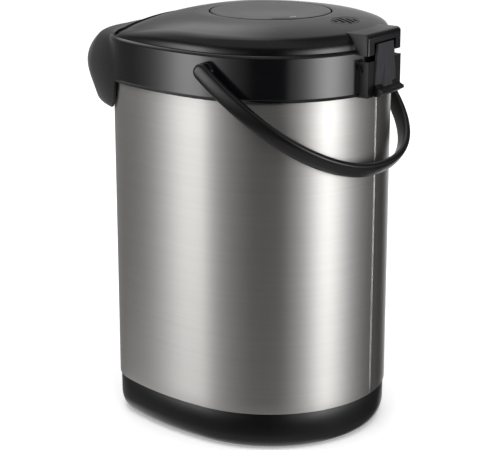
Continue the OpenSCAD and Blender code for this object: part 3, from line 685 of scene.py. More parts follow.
def build_shoulder():
    """Collar and spout hood as one moulding: a plain band at the rear that swells into the hood at the front."""
    q_all = np.linspace(-19, -40, 400)
    ledge_inset = hood_inset(q_all, 349.0)
    ledge = half_plan(HOOD_ARCS, q_all, ledge_inset)
    q_gap = q_all[np.argmax(ledge[:, 1] < GAP_Y)]
    steel = body_depth(q_all, 0.6)

    def leave(z):
        """Direction at which the hood leaves the steel at a height below the collar."""
        return q_all[np.argmax(hood_inset(q_all, z) < steel)]

    z_low = hood_curve(np.linspace(0.0, 0.5, 27))[1]
    z_low = z_low[z_low < STEEL_Z1 - 0.5]
    z_band = np.concatenate([[STEEL_Z1, 313.62, 313.9, 314.4], np.linspace(318, 347.2, 16),
                             [348.2, 348.75, SPLIT_Z]])
    rear_count, front_count = 84, 64
    rows, kinds = [], []
    rear_share = np.linspace(0, 1, rear_count + 1)
    front_share = np.linspace(0, 1, front_count + 1)[1:]

    def directions(boundary):
        return np.concatenate([90 + (boundary - 90) * rear_share, boundary + (-90 - boundary) * front_share])

    for z in z_low:
        q = directions(leave(z))
        rows.append(np.column_stack([half_plan(HOOD_ARCS, q, hood_inset(q, z)), np.full(len(q), z)]))
        kinds.append("low")
    for z in z_band:
        start = leave(STEEL_Z1 - 0.5)
        q = directions(start + (q_gap - start) * (z - STEEL_Z1) / (SPLIT_Z - STEEL_Z1))
        lip = np.interp(z, [STEEL_Z1, 313.62, 313.9, 314.4, 348.2, 348.75, SPLIT_Z],
                        [0.25, -0.15, -0.4, 0, 0, 0.12, 0.5])
        band = np.where(q > -20, -0.5, body_depth(q, 0.5)) + lip
        blend = -soft_max(-hood_inset(q, z), -band, CREASE)
        inset = np.where(q > -14, band, blend)
        fade = np.clip((-14 - q) / 6, 0, 1)
        inset = np.where((q <= -14) & (q > -20), band * (1 - fade) + blend * fade, inset)
        rows.append(np.column_stack([half_plan(HOOD_ARCS, q, inset), np.full(len(q), z)]))
        kinds.append("band")
    q = directions(q_gap)
    for step in (0.35, 1.0):
        target = np.where(q > q_gap + 1e-9, 6.3, np.maximum(hood_inset(q, 349.0), 0))
        start = inset_of(HOOD_ARCS, rows[len(z_low) + len(z_band) - 1][:, :2])[0]
        inset = start + (target - start) * step
        rows.append(np.column_stack([half_plan(HOOD_ARCS, q, inset), np.full(len(q), 349.0)]))
        kinds.append("ledge")
    base = rows[-1].copy()
    gap_end = np.column_stack([base[:, 0], np.full(len(q), GAP_Y), base[:, 2]])
    for step in np.linspace(0, 1, 34)[1:] ** 0.9:
        p = base * (1 - step) + gap_end * step
        top, lid = hood_top(p[:, :2]), lid_height(p)
        z = soft_max(top, lid, 2.4)
        z = np.where(q <= q_gap + 1e-9, np.maximum(z, 349.0), 349.0)
        row = np.column_stack([p[:, :2], z])
        row[: rear_count] = base[: rear_count]
        rows.append(row)
        kinds.append("top")
    half = np.array(rows)
    left = half[:, ::-1].copy()
    left[..., 0] *= -1
    full = np.concatenate([half, left[:, 1:]], axis=1)
    m, n = full.shape[:2]
    keep = np.ones((m - 1, n - 1), bool)
    rear_left = n - 1 - rear_count
    for i in range(m - 1):
        if kinds[i] == "low" or kinds[i + 1] == "top":
            keep[i, :rear_count] = False
            keep[i, rear_left:] = False
    skin = grid_shell(full, keep, 2.2)
    rim = full[-1][rear_count:rear_left + 1]
    wall_x = rim[:, 0]
    outline = [(x, z - 0.6) for x, _, z in rim] + [(wall_x[-1], 331.0), (wall_x[0], 331.0)]
    notch = brick((-8, GAP_Y - 4, 340), (8, GAP_Y + 1, 347))
    shoulder = raw("shoulder_and_hood", *skin, merge=2e-6)
    finish_piece(shoulder, "pot", "charcoal_plastic", ["collar", "spout_hood"], angle=42)
    front_wall = raw("hood_rear_wall", *slab_of(outline, "Y", GAP_Y - 2.4, GAP_Y - 0.02))
    carve(front_wall, notch)
    finish_piece(front_wall, "pot", "charcoal_plastic")
    angles = round_body()
    shelf = []
    for inset, z in [(3.0, 348.4), (6.0, 348.9), (6.3, 348.6), (6.3, 334), (7.0, 333.2), (7.8, 333)]:
        shelf.append(ring(BODY_ARCS, angles, inset, z))
    away = unit(angles)
    for r, z in [(81, 333), (80.2, 332.8), (80, 332.2), (80, 330.4), (80.6, 330)]:
        shelf.append(np.column_stack([away * r, np.full(len(angles), z)]))
    for inset, z in [(6, 330), (3.5, 330), (3.0, 330.5)]:
        shelf.append(ring(BODY_ARCS, angles, inset, z))
    for row in shelf:
        row[:, 1] = np.maximum(row[:, 1], GAP_Y)
    simple("shoulder_shelf", "pot", "charcoal_plastic", (), loops(shelf))
    simple("shoulder_skirt", "pot", "charcoal_plastic", (), loops(
        [ring(BODY_ARCS, angles, inset, z) for inset, z in
         [(1.0, 308.2), (1.3, 308), (3.2, 308), (3.5, 308.3), (3.5, 315), (1.0, 315)]]))


# ---------------------------------------------------------------- lid
def lid_angles():
    return round_body()


def lid_rings(drop=0.0, inset_extra=0.0):
    """Rows of the lid's skin from its lower edge up to the edge of the pump's well."""
    angles = lid_angles()
    right = np.where(angles < -90, -180 - angles, angles)
    sign = np.where(angles < -90, -1, 1)
    rows = []
    for inset in (1.0, 1.04, 1.12, 1.22, 1.35, 1.6, 2.0, 2.5, 3.1, 3.8, 4.6, 5.5, 6.5, 7.6, 8.7, 9.6, 10.5):
        p = plan(BODY_ARCS, angles, inset + inset_extra)
        z = LID_Z0 + side_share(inset) * (SHOULDER_Z - LID_Z0 - fall(p[:, 1]))
        rows.append(np.column_stack([p, z - drop]))
    o, c = half_plan(BODY_ARCS, right, 10.5 + inset_extra), LID_INNER_R * unit(right)
    d = c - o
    edge = WELL_R + 0.45 + (2 if drop else 0)
    a, b, k = (d * d).sum(1), 2 * (o * d).sum(1), (o * o).sum(1) - edge ** 2
    end = (-b - np.sqrt(b * b - 4 * a * k)) / (2 * a)
    for share in np.concatenate([np.linspace(0, 0.3, 9)[1:], np.linspace(0.3, 1, 17)[1:]]):
        t = end * share
        p = o * (1 - t)[:, None] + c * t[:, None]
        z = SHOULDER_Z + crown_share(t) * (RIM_Z - SHOULDER_Z) - (1 - t) * fall(p[:, 1])
        rows.append(np.column_stack([p[:, 0] * sign, p[:, 1], z - drop]))
    return rows


def follow(row, r, z):
    """A round ring with the same directions as a row."""
    way = row[:, :2] / np.linalg.norm(row[:, :2], axis=1, keepdims=True)
    return np.column_stack([way * r, np.full(len(row), z)])


def vent_lens(grow=0.0, n=28):
    """Pointed oval of two arcs."""
    r = VENT_R + grow
    reach = math.degrees(math.acos(VENT_OFFSET / r))
    low = [(r * math.sin(math.radians(a)), VENT_Y + VENT_OFFSET - r * math.cos(math.radians(a)))
           for a in np.linspace(reach, -reach, n)]
    high = [(r * math.sin(math.radians(a)), VENT_Y - VENT_OFFSET + r * math.cos(math.radians(a)))
            for a in np.linspace(-reach, reach, n)]
    return np.array(low[:-1] + high[:-1])


def flared(outline, grown, depth):
    """Cutter whose mouth opens by a small chamfer where it meets the lid's skin."""
    rings = [np.column_stack([outline, np.full(len(outline), 335.0)]),
             np.column_stack([outline, lid_height(outline) - depth]),
             np.column_stack([grown, lid_height(grown) + 0.04]),
             np.column_stack([grown, np.full(len(grown), 395.0)])]
    return loops(rings, closed=False)


def soft_rectangle(x0, y0, x1, y1, r, n=6):
    corners = ((x1 - r, y1 - r, 0), (x0 + r, y1 - r, 90), (x0 + r, y0 + r, 180), (x1 - r, y0 + r, 270))
    turns = [(cx, cy, math.radians(a0 + 90 * k / n)) for cx, cy, a0 in corners for k in range(n + 1)]
    return np.array([(cx + r * math.cos(a), cy + r * math.sin(a)) for cx, cy, a in turns])


def housing_side(inset=0.0):
    """Side view of the hinge housing, with its top rear corner rounded."""
    y1, z1, r = BLOCK_Y + 0.1 - inset, 365.0 - inset, 5.0
    arc = [(y1 - r + r * math.cos(a), z1 - r + r * math.sin(a)) for a in np.linspace(0, math.pi / 2, 9)]
    return [(84, 352.5), (88, 347 + inset), (y1, 347 + inset)] + arc + [(84, z1)]


def build_lid():
    rows = lid_rings()
    inner = lid_rings(2.5, 2.5)
    top = rows[-1]
    well = [follow(top, WELL_R + 0.2, RIM_Z - 0.06), follow(top, WELL_R, RIM_Z - 0.35), follow(top, WELL_R, 353.0),
            follow(top, WELL_R - 0.6, WELL_FLOOR), follow(top, 5.6, WELL_FLOOR), follow(top, 5.1, 352.2),
            follow(top, 5.1, 351.0), follow(top, WELL_R + 2, 351.0), follow(top, WELL_R + 2, 366)]
    foot = [ring(BODY_ARCS, lid_angles(), 3.4, LID_Z0), ring(BODY_ARCS, lid_angles(), 1.25, LID_Z0)]
    lid = raw("lid_cover_moulding", *loops(rows + well + inner[::-1] + foot))
    side = slab_of(housing_side(), "X", -HINGE_HALF, HINGE_HALF)
    carve(lid, side, join=True)
    reach = LEVER_HALF + LEVER_GAP
    sweep = lathe([(22.3, -reach), (22.3, reach)], (PIN_Y, PIN_Z), 96, "X", closed=False)
    inside = brick((-25.6, 94, 345), (25.6, 113.2, 362.4))
    outline = soft_rectangle(-30.1, -106, 30.1, -63.6, 2.2)
    mouth = soft_rectangle(-30.5, -106.4, 30.5, -63.2, 2.4)
    r, y1 = 1.8, BLOCK_Y + 0.1
    curve = [(HINGE_HALF - r + r * math.cos(t), y1 - r + r * math.sin(t)) for t in np.linspace(0, math.pi / 2, 9)]
    outside = [(HINGE_HALF - r, y1 + 1), (HINGE_HALF + 1, y1 + 1), (HINGE_HALF + 1, y1 - r)]
    corners = mirrored(slab_of(curve + outside, "Z", 340, 370))
    carve(lid, sweep, inside, corners, brick((-25.6, 86, 340), (25.6, 95, 353)), flared(outline, mouth, 0.45),
          flared(vent_lens(), vent_lens(0.2), 0.2), brick((-150, -200, 300), (150, LID_FRONT_Y, 400)))

    def front_or_housing(e):
        turn = e.calc_face_angle(0)
        if turn > math.radians(50) and all(abs(v.co.y - LID_FRONT_Y * MM) < 1e-6 for v in e.verts):
            return True
        return turn > math.radians(35) and all(
            abs(abs(v.co.x) - HINGE_HALF * MM) < 1e-6 and v.co.y > 0.0885 for v in e.verts)

    round_edges(lid, 0.5, front_or_housing, merge=1e-5)
    finish_piece(lid, "lid", "lid_plastic", ["lid_cover"], angle=28)
    floor = brick((-31.8, -107.8, 352.0), (31.8, -61.8, 353.6))
    simple("lever_pocket_floor", "lid", "black_plastic", (), floor)


def skin_patch(x0, y0, x1, y1, step, depth, sink=0.0):
    """Shell that follows the lid's skin over a rectangle, with its edges turned down."""
    xs = np.linspace(x0, x1, max(3, int(round((x1 - x0) / step)) + 1))
    ys = np.linspace(y0, y1, max(3, int(round((y1 - y0) / step)) + 1))
    gx, gy = np.meshgrid(xs, ys)
    z = lid_height(np.column_stack([gx.ravel(), gy.ravel()])).reshape(gx.shape) - sink
    top = np.dstack([gx, gy, z])
    m, n = gx.shape
    faces = []
    low = m * n
    for i in range(m - 1):
        for j in range(n - 1):
            q = [i * n + j, i * n + j + 1, (i + 1) * n + j + 1, (i + 1) * n + j]
            faces += [tuple(q), tuple(low + k for k in reversed(q))]
    edge = ([(0, j) for j in range(n)] + [(i, n - 1) for i in range(1, m)]
            + [(m - 1, j) for j in range(n - 2, -1, -1)] + [(i, 0) for i in range(m - 2, 0, -1)])
    for k in range(len(edge)):
        (i0, j0), (i1, j1) = edge[k], edge[(k + 1) % len(edge)]
        a, b = i0 * n + j0, i1 * n + j1
        faces.append((a, low + a, low + b, b))
    bottom = top.copy()
    bottom[..., 2] -= depth
    return np.concatenate([top.reshape(-1, 3), bottom.reshape(-1, 3)]), faces


def build_lid_fittings():
    vent = raw("vent_grille_moulding", *skin_patch(-24, 64, 24, 88, 1.5, 2.4, 0.12))
    lens = vent_lens(-0.25)
    keeper = raw("vent_keeper", *slab_of(lens, "Z", 340, 395))
    meet = vent.modifiers.new("meet", "BOOLEAN")
    meet.operation, meet.solver, meet.object = "INTERSECT", "EXACT", keeper
    settle(vent)
    bpy.data.objects.remove(keeper)
    slots = []
    lean = math.radians(VENT_LEAN)
    for x in np.arange(-11, 12, 5.5):
        half = 8.6 - abs(x) * 0.5
        pill = np.array([(x + 1.4 * math.cos(a), math.copysign(half - 1.4, math.sin(a)) + 1.4 * math.sin(a))
                         for a in np.linspace(0.001, 2 * math.pi + 0.001, 20, endpoint=False)])
        slots.append(slab_of(np.column_stack([pill[:, 0] * math.cos(lean) - pill[:, 1] * math.sin(lean),
                                              VENT_Y + pill[:, 0] * math.sin(lean) + pill[:, 1] * math.cos(lean)]),
                             "Z", 340, 395))
    carve(vent, gather(*slots))
    finish_piece(vent, "lid", "black_plastic", ["vent_grille"], angle=30)

    lever = raw("lid_lever_moulding", *skin_patch(-29.6, -105.4, 29.6, -64.2, 1.4, 3.0))
    round_edges(lever, 0.6, lambda e: e.calc_face_angle(0) > math.radians(50))
    lugs = [brick((x, -103, 358.5), (x + w, -97, 362.2)) for x, w in ((-27, 4), (-4, 8), (23, 4))]
    lugs.append(brick((-4, -101.5, 347.5), (4, -98.5, 360)))
    finish_piece(lever, "lid_lever", "lid_plastic", ["lid_lever"], angle=40)
    block_piece("lid_lever_lugs", "lid_lever", "black_plastic", (), 0.4, [lugs[3]] + lugs[:3])


def build_pump():
    """Round press plate with a shallow finger dish, and the lock ring whose tab shows through an arc slot."""
    profile = [(0.01, 372.15)] + [(r, 372.15 + 0.55 * (1 - math.cos(math.pi * min(1, r / 47))) / 2)
                                  for r in np.linspace(6, 47, 12)]
    profile += [(51.6, 372.8), (52.3, 372.72), (52.85, 372.45), (53.15, 372.0), (PUMP_R, 371.4), (PUMP_R, 365.4),
                (52.8, 365.0), (50.2, 365.0), (49.2, 365.4), (49.2, 368.4), (48.8, PLATE_FLOOR), (0.01, PLATE_FLOOR)]
    plate = raw("pump_plate_moulding", *lathe(profile, n=192))
    a = np.radians(np.linspace(34, 62, 24))
    arc = [(r * math.cos(t), r * math.sin(t)) for r, ts in ((46.1, a), (48.9, a[::-1])) for t in ts]
    carve(plate, slab_of(arc, "Z", 360, 380))
    finish_piece(plate, "pump", "lid_plastic", ["pump_plate"], angle=35)
    a = np.radians(np.linspace(53, 61, 9))
    tab = [(r * math.cos(t), r * math.sin(t)) for r, ts in ((46.4, a), (48.6, a[::-1])) for t in ts]
    lock = raw("lock_ring_moulding", *slab_of(tab, "Z", 367, 373.6))
    carve(lock, lathe([(45.6, 366.6), (48.9, 366.6), (48.9, 368.5), (45.6, 368.5)], n=160), join=True)
    ease(lock, 0.3, 2, 50)
    finish_piece(lock, "pump_lock", "lock_grey", ["lock_ring"], angle=40)


# ---------------------------------------------------------------- hinge
def side_cuts():
    """A shallow field with a rim on both sides, and a three-cornered dimple at the hinge pin's end."""
    field = brick((27.3, 105.2, 313.6), (30, 112.9, 340.2))
    corners = ((-2.5, 2.9), (-1.7, 3.3), (1.8, 3.3), (2.4, 2.7), (1.0, -3.1), (0.2, -3.1))
    dimple = slab_of([(PIN_Y + y, PIN_Z + z) for y, z in corners], "X", 26.1, 30)
    return [mirrored(field), mirrored(dimple)]


def build_hinge():
    slot = LEVER_HALF + LEVER_GAP
    body = brick((-HINGE_HALF, 95, 311.4), (HINGE_HALF, BLOCK_Y, 341.9))
    cuts = [slab_of(plan(BODY_ARCS, round_body(), -0.45), "Z", 300, 400),
            brick((-25.5, 90, 331), (25.5, 113.7, 360)), brick((-slot, 113.4, 300), (slot, 130, 360)),
            brick((-slot, 104.8, 331), (slot, 130, 360)),
            lathe([(2.3, -25.4), (2.3, 25.4)], (PIN_Y, PIN_Z), 32, "X", closed=False)] + side_cuts()
    block_piece("hinge_bracket_moulding", "pot", "black_plastic", ["hinge_bracket"], 0.7, [body], cuts, 3, 40)
    rod = lathe([(1.6, -25.3), (2.0, -24.9), (2.0, 24.9), (1.6, 25.3)], (PIN_Y, PIN_Z), 32, "X", closed=False)
    simple("hinge_pin_rod", "pot", "plain_steel", ["hinge_pin"], rod)


def build_detach_lever():
    """Lever plate with a raised arrow relief and a grip lip with fine teeth."""
    y0 = BLOCK_Y - 1.3
    plate = slab_of(soft_rectangle(-LEVER_HALF, 314, LEVER_HALF, 355.5, 1.2, 4), "Y", y0, y0 + 2.5)
    hub = [lathe([(4, -15), (4, 15)], (PIN_Y, PIN_Z), 48, "X", closed=False),
           brick((-12, PIN_Y, 332.5), (12, y0 + 1, 338.5))]
    face = y0 + 2.5
    low = np.array([(-9.5, face - 0.3, 319.0), (9.5, face - 0.3, 319.0), (0, face - 0.3, 346.5),
                    (-7.0, face + 3.2, 319.0), (7.0, face + 3.2, 319.0), (0, face + 0.25, 344.5)])
    wedge = (low, [(0, 1, 2), (5, 4, 3), (0, 3, 4, 1), (1, 4, 5, 2), (2, 5, 3, 0)])
    shoulders = [slab_of([(side * 17.4, 356), (side * 12.6, 356), (side * 17.4, 326)], "Y", y0 - 1, face + 1)
                 for side in (1, -1)]
    block_piece("detach_lever_moulding", "detach_lever", "slate_plastic", ["detach_lever"], 0.5,
                [plate] + hub + [wedge],
                shoulders + [lathe([(2.05, -20), (2.05, 20)], (PIN_Y, PIN_Z), 32, "X", closed=False)], 2, 38)
    lip = slab_of([(y0 + 0.8, 322.6), (y0 + 1.9, 311.4), (119.5, 311.4), (124.6, 314.6), (124.4, 316.8),
                   (119, 319.4)], "X", -18.6, 18.6)
    teeth = gather(*[brick((x - 0.4, 118.9, 315.6), (x + 0.4, 126, 322.0)) for x in np.arange(-17.1, 17.2, 1.9)])
    block_piece("detach_lever_lip", "detach_lever", "black_plastic", (), 0.3, [lip], [teeth], 2, 38)


# ---------------------------------------------------------------- handle, by geometry nodes
def tree_with(name, inputs):
    tree = bpy.data.node_groups.new(name, "GeometryNodeTree")
    tree.interface.new_socket("Geometry", in_out="INPUT", socket_type="NodeSocketGeometry")
    sockets = {}
    for label, value in inputs.items():
        kind = "NodeSocketFloat" if isinstance(value, float) else "NodeSocketMaterial"
        sockets[label] = tree.interface.new_socket(label, in_out="INPUT", socket_type=kind)
        if kind != "NodeSocketMaterial":
            sockets[label].default_value = value
    tree.interface.new_socket("Geometry", in_out="OUTPUT", socket_type="NodeSocketGeometry")
    source = tree.nodes.new("NodeGroupInput")
    wires = {label: Wire(tree, source.outputs[label]) for label in inputs}
    return tree, wires, sockets


def grow(name, tree, sockets, values):
    """Runs a geometry node tree on an empty mesh and keeps the result as a plain mesh object."""
    obj = bpy.data.objects.new(name, bpy.data.meshes.new(name))
    scene.collection.objects.link(obj)
    modifier = obj.modifiers.new(name, "NODES")
    modifier.node_group = tree
    for label, value in values.items():
        modifier[sockets[label].identifier] = value
    settle(obj)
    clean(obj.data, 2e-6)
    return obj


def end_tree(tree, geometry, finish):
    whole = geometry.add("GeometryNodeRealizeInstances", None, {0: geometry})
    dressed = whole.add("GeometryNodeSetMaterial", None, {"Geometry": whole, "Material": finish})
    tree.links.new(dressed.socket, tree.nodes.new("NodeGroupOutput").inputs[0])


def bail_tree(inputs):
    """Strap swept round half a superellipse, its section domed outside, its ends closed by half discs."""
    tree, w, sockets = tree_with("bail_strap", inputs)
    around, along = 28, 150
    grid = Wire(tree).add("GeometryNodeMeshGrid", None,
                          {"Size X": 1.0, "Size Y": 1.0, "Vertices X": along, "Vertices Y": around})
    place = grid.add("GeometryNodeInputPosition")
    xyz = place.add("ShaderNodeSeparateXYZ", None, {0: place})
    u, v = xyz + 0.5, xyz.pick("Y") + 0.5
    cap = 0.07
    inner = ((u - cap) / (1 - 2 * cap)).maths("MAXIMUM", 0.0).maths("MINIMUM", 1.0)
    beyond = ((u - 0.5).maths("ABSOLUTE") - (0.5 - cap)).maths("MAXIMUM", 0.0) / cap
    turn = inner * math.pi
    cosine, sine = turn.maths("COSINE"), turn.maths("SINE").maths("MAXIMUM", 0.0)
    power = w["Roundness"]
    a, b = w["Half width"] - w["Thickness"] * 0.5, w["Reach"] - w["Thickness"] * 0.5
    cx = a * cosine.maths("SIGN") * cosine.maths("ABSOLUTE") ** power
    cy = b * sine ** power
    # outward normal of the superellipse from its implicit form
    exponent = 2 / power - 1
    nx = cosine.maths("SIGN") * (cx / a).maths("ABSOLUTE") ** exponent / a
    ny = (cy / b) ** exponent / b
    size = (nx * nx + ny * ny).maths("SQRT")
    nx, ny = nx / size, ny / size
    shrink = (1 - beyond * beyond).maths("MAXIMUM", 0.0).maths("SQRT")
    angle = v * (2 * math.pi)
    ca, sa = angle.maths("COSINE"), angle.maths("SINE")
    across = ca.maths("SIGN") * ca.maths("ABSOLUTE") ** 0.62
    dome = sa.maths("SIGN") * sa.maths("ABSOLUTE") ** 0.5
    wide = w["Width"] * 0.5 * across * shrink
    flat_end = 1 - (beyond ** 6)
    thick = w["Thickness"] * 0.5 * dome * (1 - (across ** 2) * 0.12) * flat_end.maths("MAXIMUM", 0.0) ** 0.5
    x = cx + nx * thick
    y = cy + ny * thick - beyond * w["Width"] * 0.5
    rest = w["Rest angle"]
    cr, sr = rest.maths("COSINE"), rest.maths("SINE")
    point = x.add("ShaderNodeCombineXYZ", None, {"X": x, "Y": y * cr + wide * sr + w["Pivot Y"],
                                                "Z": wide * cr - y * sr + w["Pivot Z"]})
    shaped = grid.add("GeometryNodeSetPosition", None, {"Geometry": grid, "Position": point})
    merged = shaped.add("GeometryNodeMergeByDistance", None, {"Geometry": shaped, "Distance": 0.000004})
    end_tree(tree, merged, w["Finish"])
    return tree, sockets


def build_handle():
    inputs = {"Half width": 0.12, "Reach": 0.143, "Thickness": 0.007, "Width": 0.0145, "Roundness": 2 / 2.2,
              "Rest angle": math.radians(39.5), "Pivot Y": 0.008, "Pivot Z": 0.3365,
              "Finish": FINISH["handle_plastic"]}
    tree, sockets = bail_tree(inputs)
    handle = grow("bail_handle", tree, sockets, inputs)
    finish_piece(handle, "handle", "handle_plastic", ["handle"], angle=60)
    bosses = mirrored(lathe([(0.01, 100.5), (4.0, 100.5), (4.0, 107.6), (6.9, 107.6), (7.4, 107.9), (7.5, 108.4),
                             (7.5, 112.0), (7.2, 112.6), (4.0, 112.7), (4.0, 117.2), (3.6, 117.5), (0.01, 117.5)],
                            (8, 336.5), 72, "X"))
    simple("handle_pivot_bosses", "pot", "black_plastic", ["handle_pivots"], bosses, 35)


# ---------------------------------------------------------------- base
def build_base():
    angles = round_body()
    foot = [(14.2, 3.2), (14.2, 0.35), (13.9, 0.05), (11.4, 0), (9.6, 0.45), (7.9, 1.3), (6.4, 2.4), (5.0, 3.8),
            (3.8, 5.5), (2.8, 7.5), (2.05, 9.8), (1.5, 12.4), (1.25, 15), (1.2, 20), (1.2, 34.2), (1.4, 34.55),
            (2.0, 34.7),
            (2.9, 34.8), (2.9, 41.6), (3.2, 42), (4.3, 42), (4.6, 41.6), (4.6, 6), (5, 5.5), (13.8, 5.5)]
    base = raw("base_ring_moulding", *loops([ring(BODY_ARCS, angles, inset, z) for inset, z in foot]))
    carve(base, brick((-120, -16, 9), (-90, 16, 27)))
    finish_piece(base, "pot", "black_plastic", ["base_ring"], angle=35)


# ---------------------------------------------------------------- front panel, inlet, bottom
def front_wall(x0, x1, outer, inner, z0, z1):
    """Block between two insets of the front arc."""
    def arc(inset, xs):
        return [(x, FRONT_C[1] - math.sqrt((FRONT_R - inset) ** 2 - x * x)) for x in xs]
    xs = np.linspace(x0, x1, 25)
    return slab_of(arc(outer, xs) + arc(inner, xs[::-1]), "Z", z0, z1)


def build_front():
    """Raised front panel with the gauge window, the control bezel with its button and lamps, and the spout."""
    y = FRONT_Y
    block_piece("front_panel_moulding", "pot", "charcoal_plastic", ["front_panel"], 0.9,
                [front_wall(-44, 44, -2.5, 0.0, 40, 284)],
                [brick((-6, y - 10, 92), (6, y + 10, 232)), brick((-30, y - 10, 50), (30, y + 10, 82))], 3, 40)
    marks = [brick((-6.5, y - 3, z - 0.35), (-2.6, y - 1.6, z + 0.35)) for z in range(104, 225, 12)]
    block_piece("gauge_window_lens", "pot", "clear_glass", ["gauge_window"], 0.5,
                [brick((-6, y - 2, 92), (6, y + 1, 232))], [gather(*marks)], 2, 50)
    face = y - 3.7
    body = slab_of(soft_rectangle(-30, 50, 30, 82, 4), "Y", face, face + 4)
    posts = [lathe([(2.2, face + 3), (2.2, y + 8.5)], (x, z), 24, "Y", closed=False)
             for x in (-27, 27) for z in (53.5, 78.5)]
    holes = [lathe([(r, face - 1), (r, face + 6)], (x, 66), 48, "Y", closed=False)
             for x, r in ((-15, 7.3), (8, 2.2), (20, 2.2))]
    field = slab_of(soft_rectangle(-27.5, 52.5, 27.5, 79.5, 2.4), "Y", face - 1, face + 0.5)
    block_piece("control_bezel_moulding", "pot", "slate_plastic", ["control_bezel"], 0.4, [body] + posts,
                [field] + holes, 2, 40)
    simple("reboil_button_cap", "reboil_button", "lock_grey", ["reboil_button"], lathe(
        [(0.01, y - 4.5), (3, y - 4.55), (5.6, y - 4.9), (6.3, y - 5.15), (6.75, y - 5.0), (7, y - 4.6),
         (7, y + 0.7), (8.6, y + 0.7), (8.6, y + 2.2), (0.01, y + 2.2)], (-15, 66), 64, "Y"))
    simple("lamp_lens_pair", "pot", "amber_lens", ["lamp_lenses"], gather(*[lathe(
        [(0.01, y - 4.4), (1.2, y - 4.3), (1.9, y - 3.9), (2.2, y - 3.3), (2.2, y + 3), (0.01, y + 3)],
        (x, 66), 32, "Y") for x in (8, 20)]))
    simple("spout_nozzle_tip", "pot", "black_plastic", ["spout_nozzle"], lathe(
        [(5.0, 279), (4.7, 279.3), (4.6, 280), (4.6, 302), (6.4, 302), (6.4, 281.2), (6.1, 279.6), (5.6, 279)],
        (0, NOZZLE_Y), 64))


def build_inlet():
    """Recessed inlet for a magnetic plug, with two round contacts."""
    block_piece("power_inlet_moulding", "pot", "black_plastic", ["power_inlet"], 0.5,
                [brick((-104.3, -16, 9), (-84, 16, 27))],
                [slab_of(soft_rectangle(-12, 10.5, 12, 25.5, 2.5), "X", -106, -92)]
                + [lathe([(2.5, -94), (2.5, -80)], (y, 18), 32, "X", closed=False) for y in (-6, 6)], 2, 40)
    simple("inlet_contact_pair", "pot", "band_brass", ["inlet_contacts"], gather(*[lathe(
        [(0.01, -94), (1.7, -93.95), (2.3, -93.6), (2.5, -93.1), (2.5, -83), (0.01, -83)], (y, 18), 32, "X")
        for y in (-6, 6)]))


def screw_tree(inputs):
    """Pan-head screws with a cross recess, two in a mirrored pair, pointing up."""
    tree, w, sockets = tree_with("screw_pair", inputs)

    def upright(radius, length, z, sides=40):
        rod = Wire(tree).add("GeometryNodeMeshCylinder", None,
                             {"Vertices": sides, "Radius": radius, "Depth": length})
        shift = rod.add("ShaderNodeCombineXYZ", None, {"Z": z + length * 0.5})
        return rod.add("GeometryNodeTransform", None, {"Geometry": rod, "Translation": shift})

    head = upright(w["Head radius"], w["Head height"], w["Head height"] * 0)
    shaft = upright(w["Shaft radius"], w["Length"], w["Head height"] * 0.9, 24)
    whole = head.add("GeometryNodeMeshBoolean", {"operation": "UNION", "solver": "EXACT"}, {"Mesh 2": shaft})
    tree.links.new(head.socket, whole.socket.node.inputs["Mesh 2"])
    for wide, deep in (("Head radius", "Slot width"), ("Slot width", "Head radius")):
        size = whole.add("ShaderNodeCombineXYZ", None,
                         {"X": w[wide] * 1.1, "Y": w[deep] * 1.1, "Z": w["Head height"]})
        bar = whole.add("GeometryNodeMeshCube", None, {"Size": size})
        whole = whole.add("GeometryNodeMeshBoolean", {"operation": "DIFFERENCE", "solver": "EXACT"},
                          {"Mesh 1": whole, "Mesh 2": bar})
    one = whole.add("ShaderNodeCombineXYZ", None, {"X": w["Half distance"], "Y": w["Place Y"], "Z": w["Place Z"]})
    other = whole.add("ShaderNodeCombineXYZ", None, {"X": w["Half distance"] * -1, "Y": w["Place Y"],
                                                     "Z": w["Place Z"]})
    line = whole.add("GeometryNodeMeshLine", {"mode": "END_POINTS"}, {"Count": 2, "Start Location": one,
                                                                     "Offset": other})
    many = whole.add("GeometryNodeInstanceOnPoints", None, {"Points": line, "Instance": whole})
    end_tree(tree, many, w["Finish"])
    return tree, sockets


def coil_tree(inputs):
    """Round wire wound to a spring."""
    tree, w, sockets = tree_with("coil", inputs)
    path = Wire(tree).add("GeometryNodeCurveSpiral", None, {
        "Resolution": 40, "Rotations": w["Turns"], "Start Radius": w["Radius"], "End Radius": w["Radius"],
        "Height": w["Height"]})
    wire = path.add("GeometryNodeCurvePrimitiveCircle", None, {"Resolution": 14, "Radius": w["Wire radius"]})
    tube = path.add("GeometryNodeCurveToMesh", None, {"Curve": path, "Profile Curve": wire, "Fill Caps": True})
    shift = path.add("ShaderNodeCombineXYZ", None, {"Z": w["Bottom"]})
    placed = tube.add("GeometryNodeTransform", None, {"Geometry": tube, "Translation": shift})
    end_tree(tree, placed, w["Finish"])
    return tree, sockets


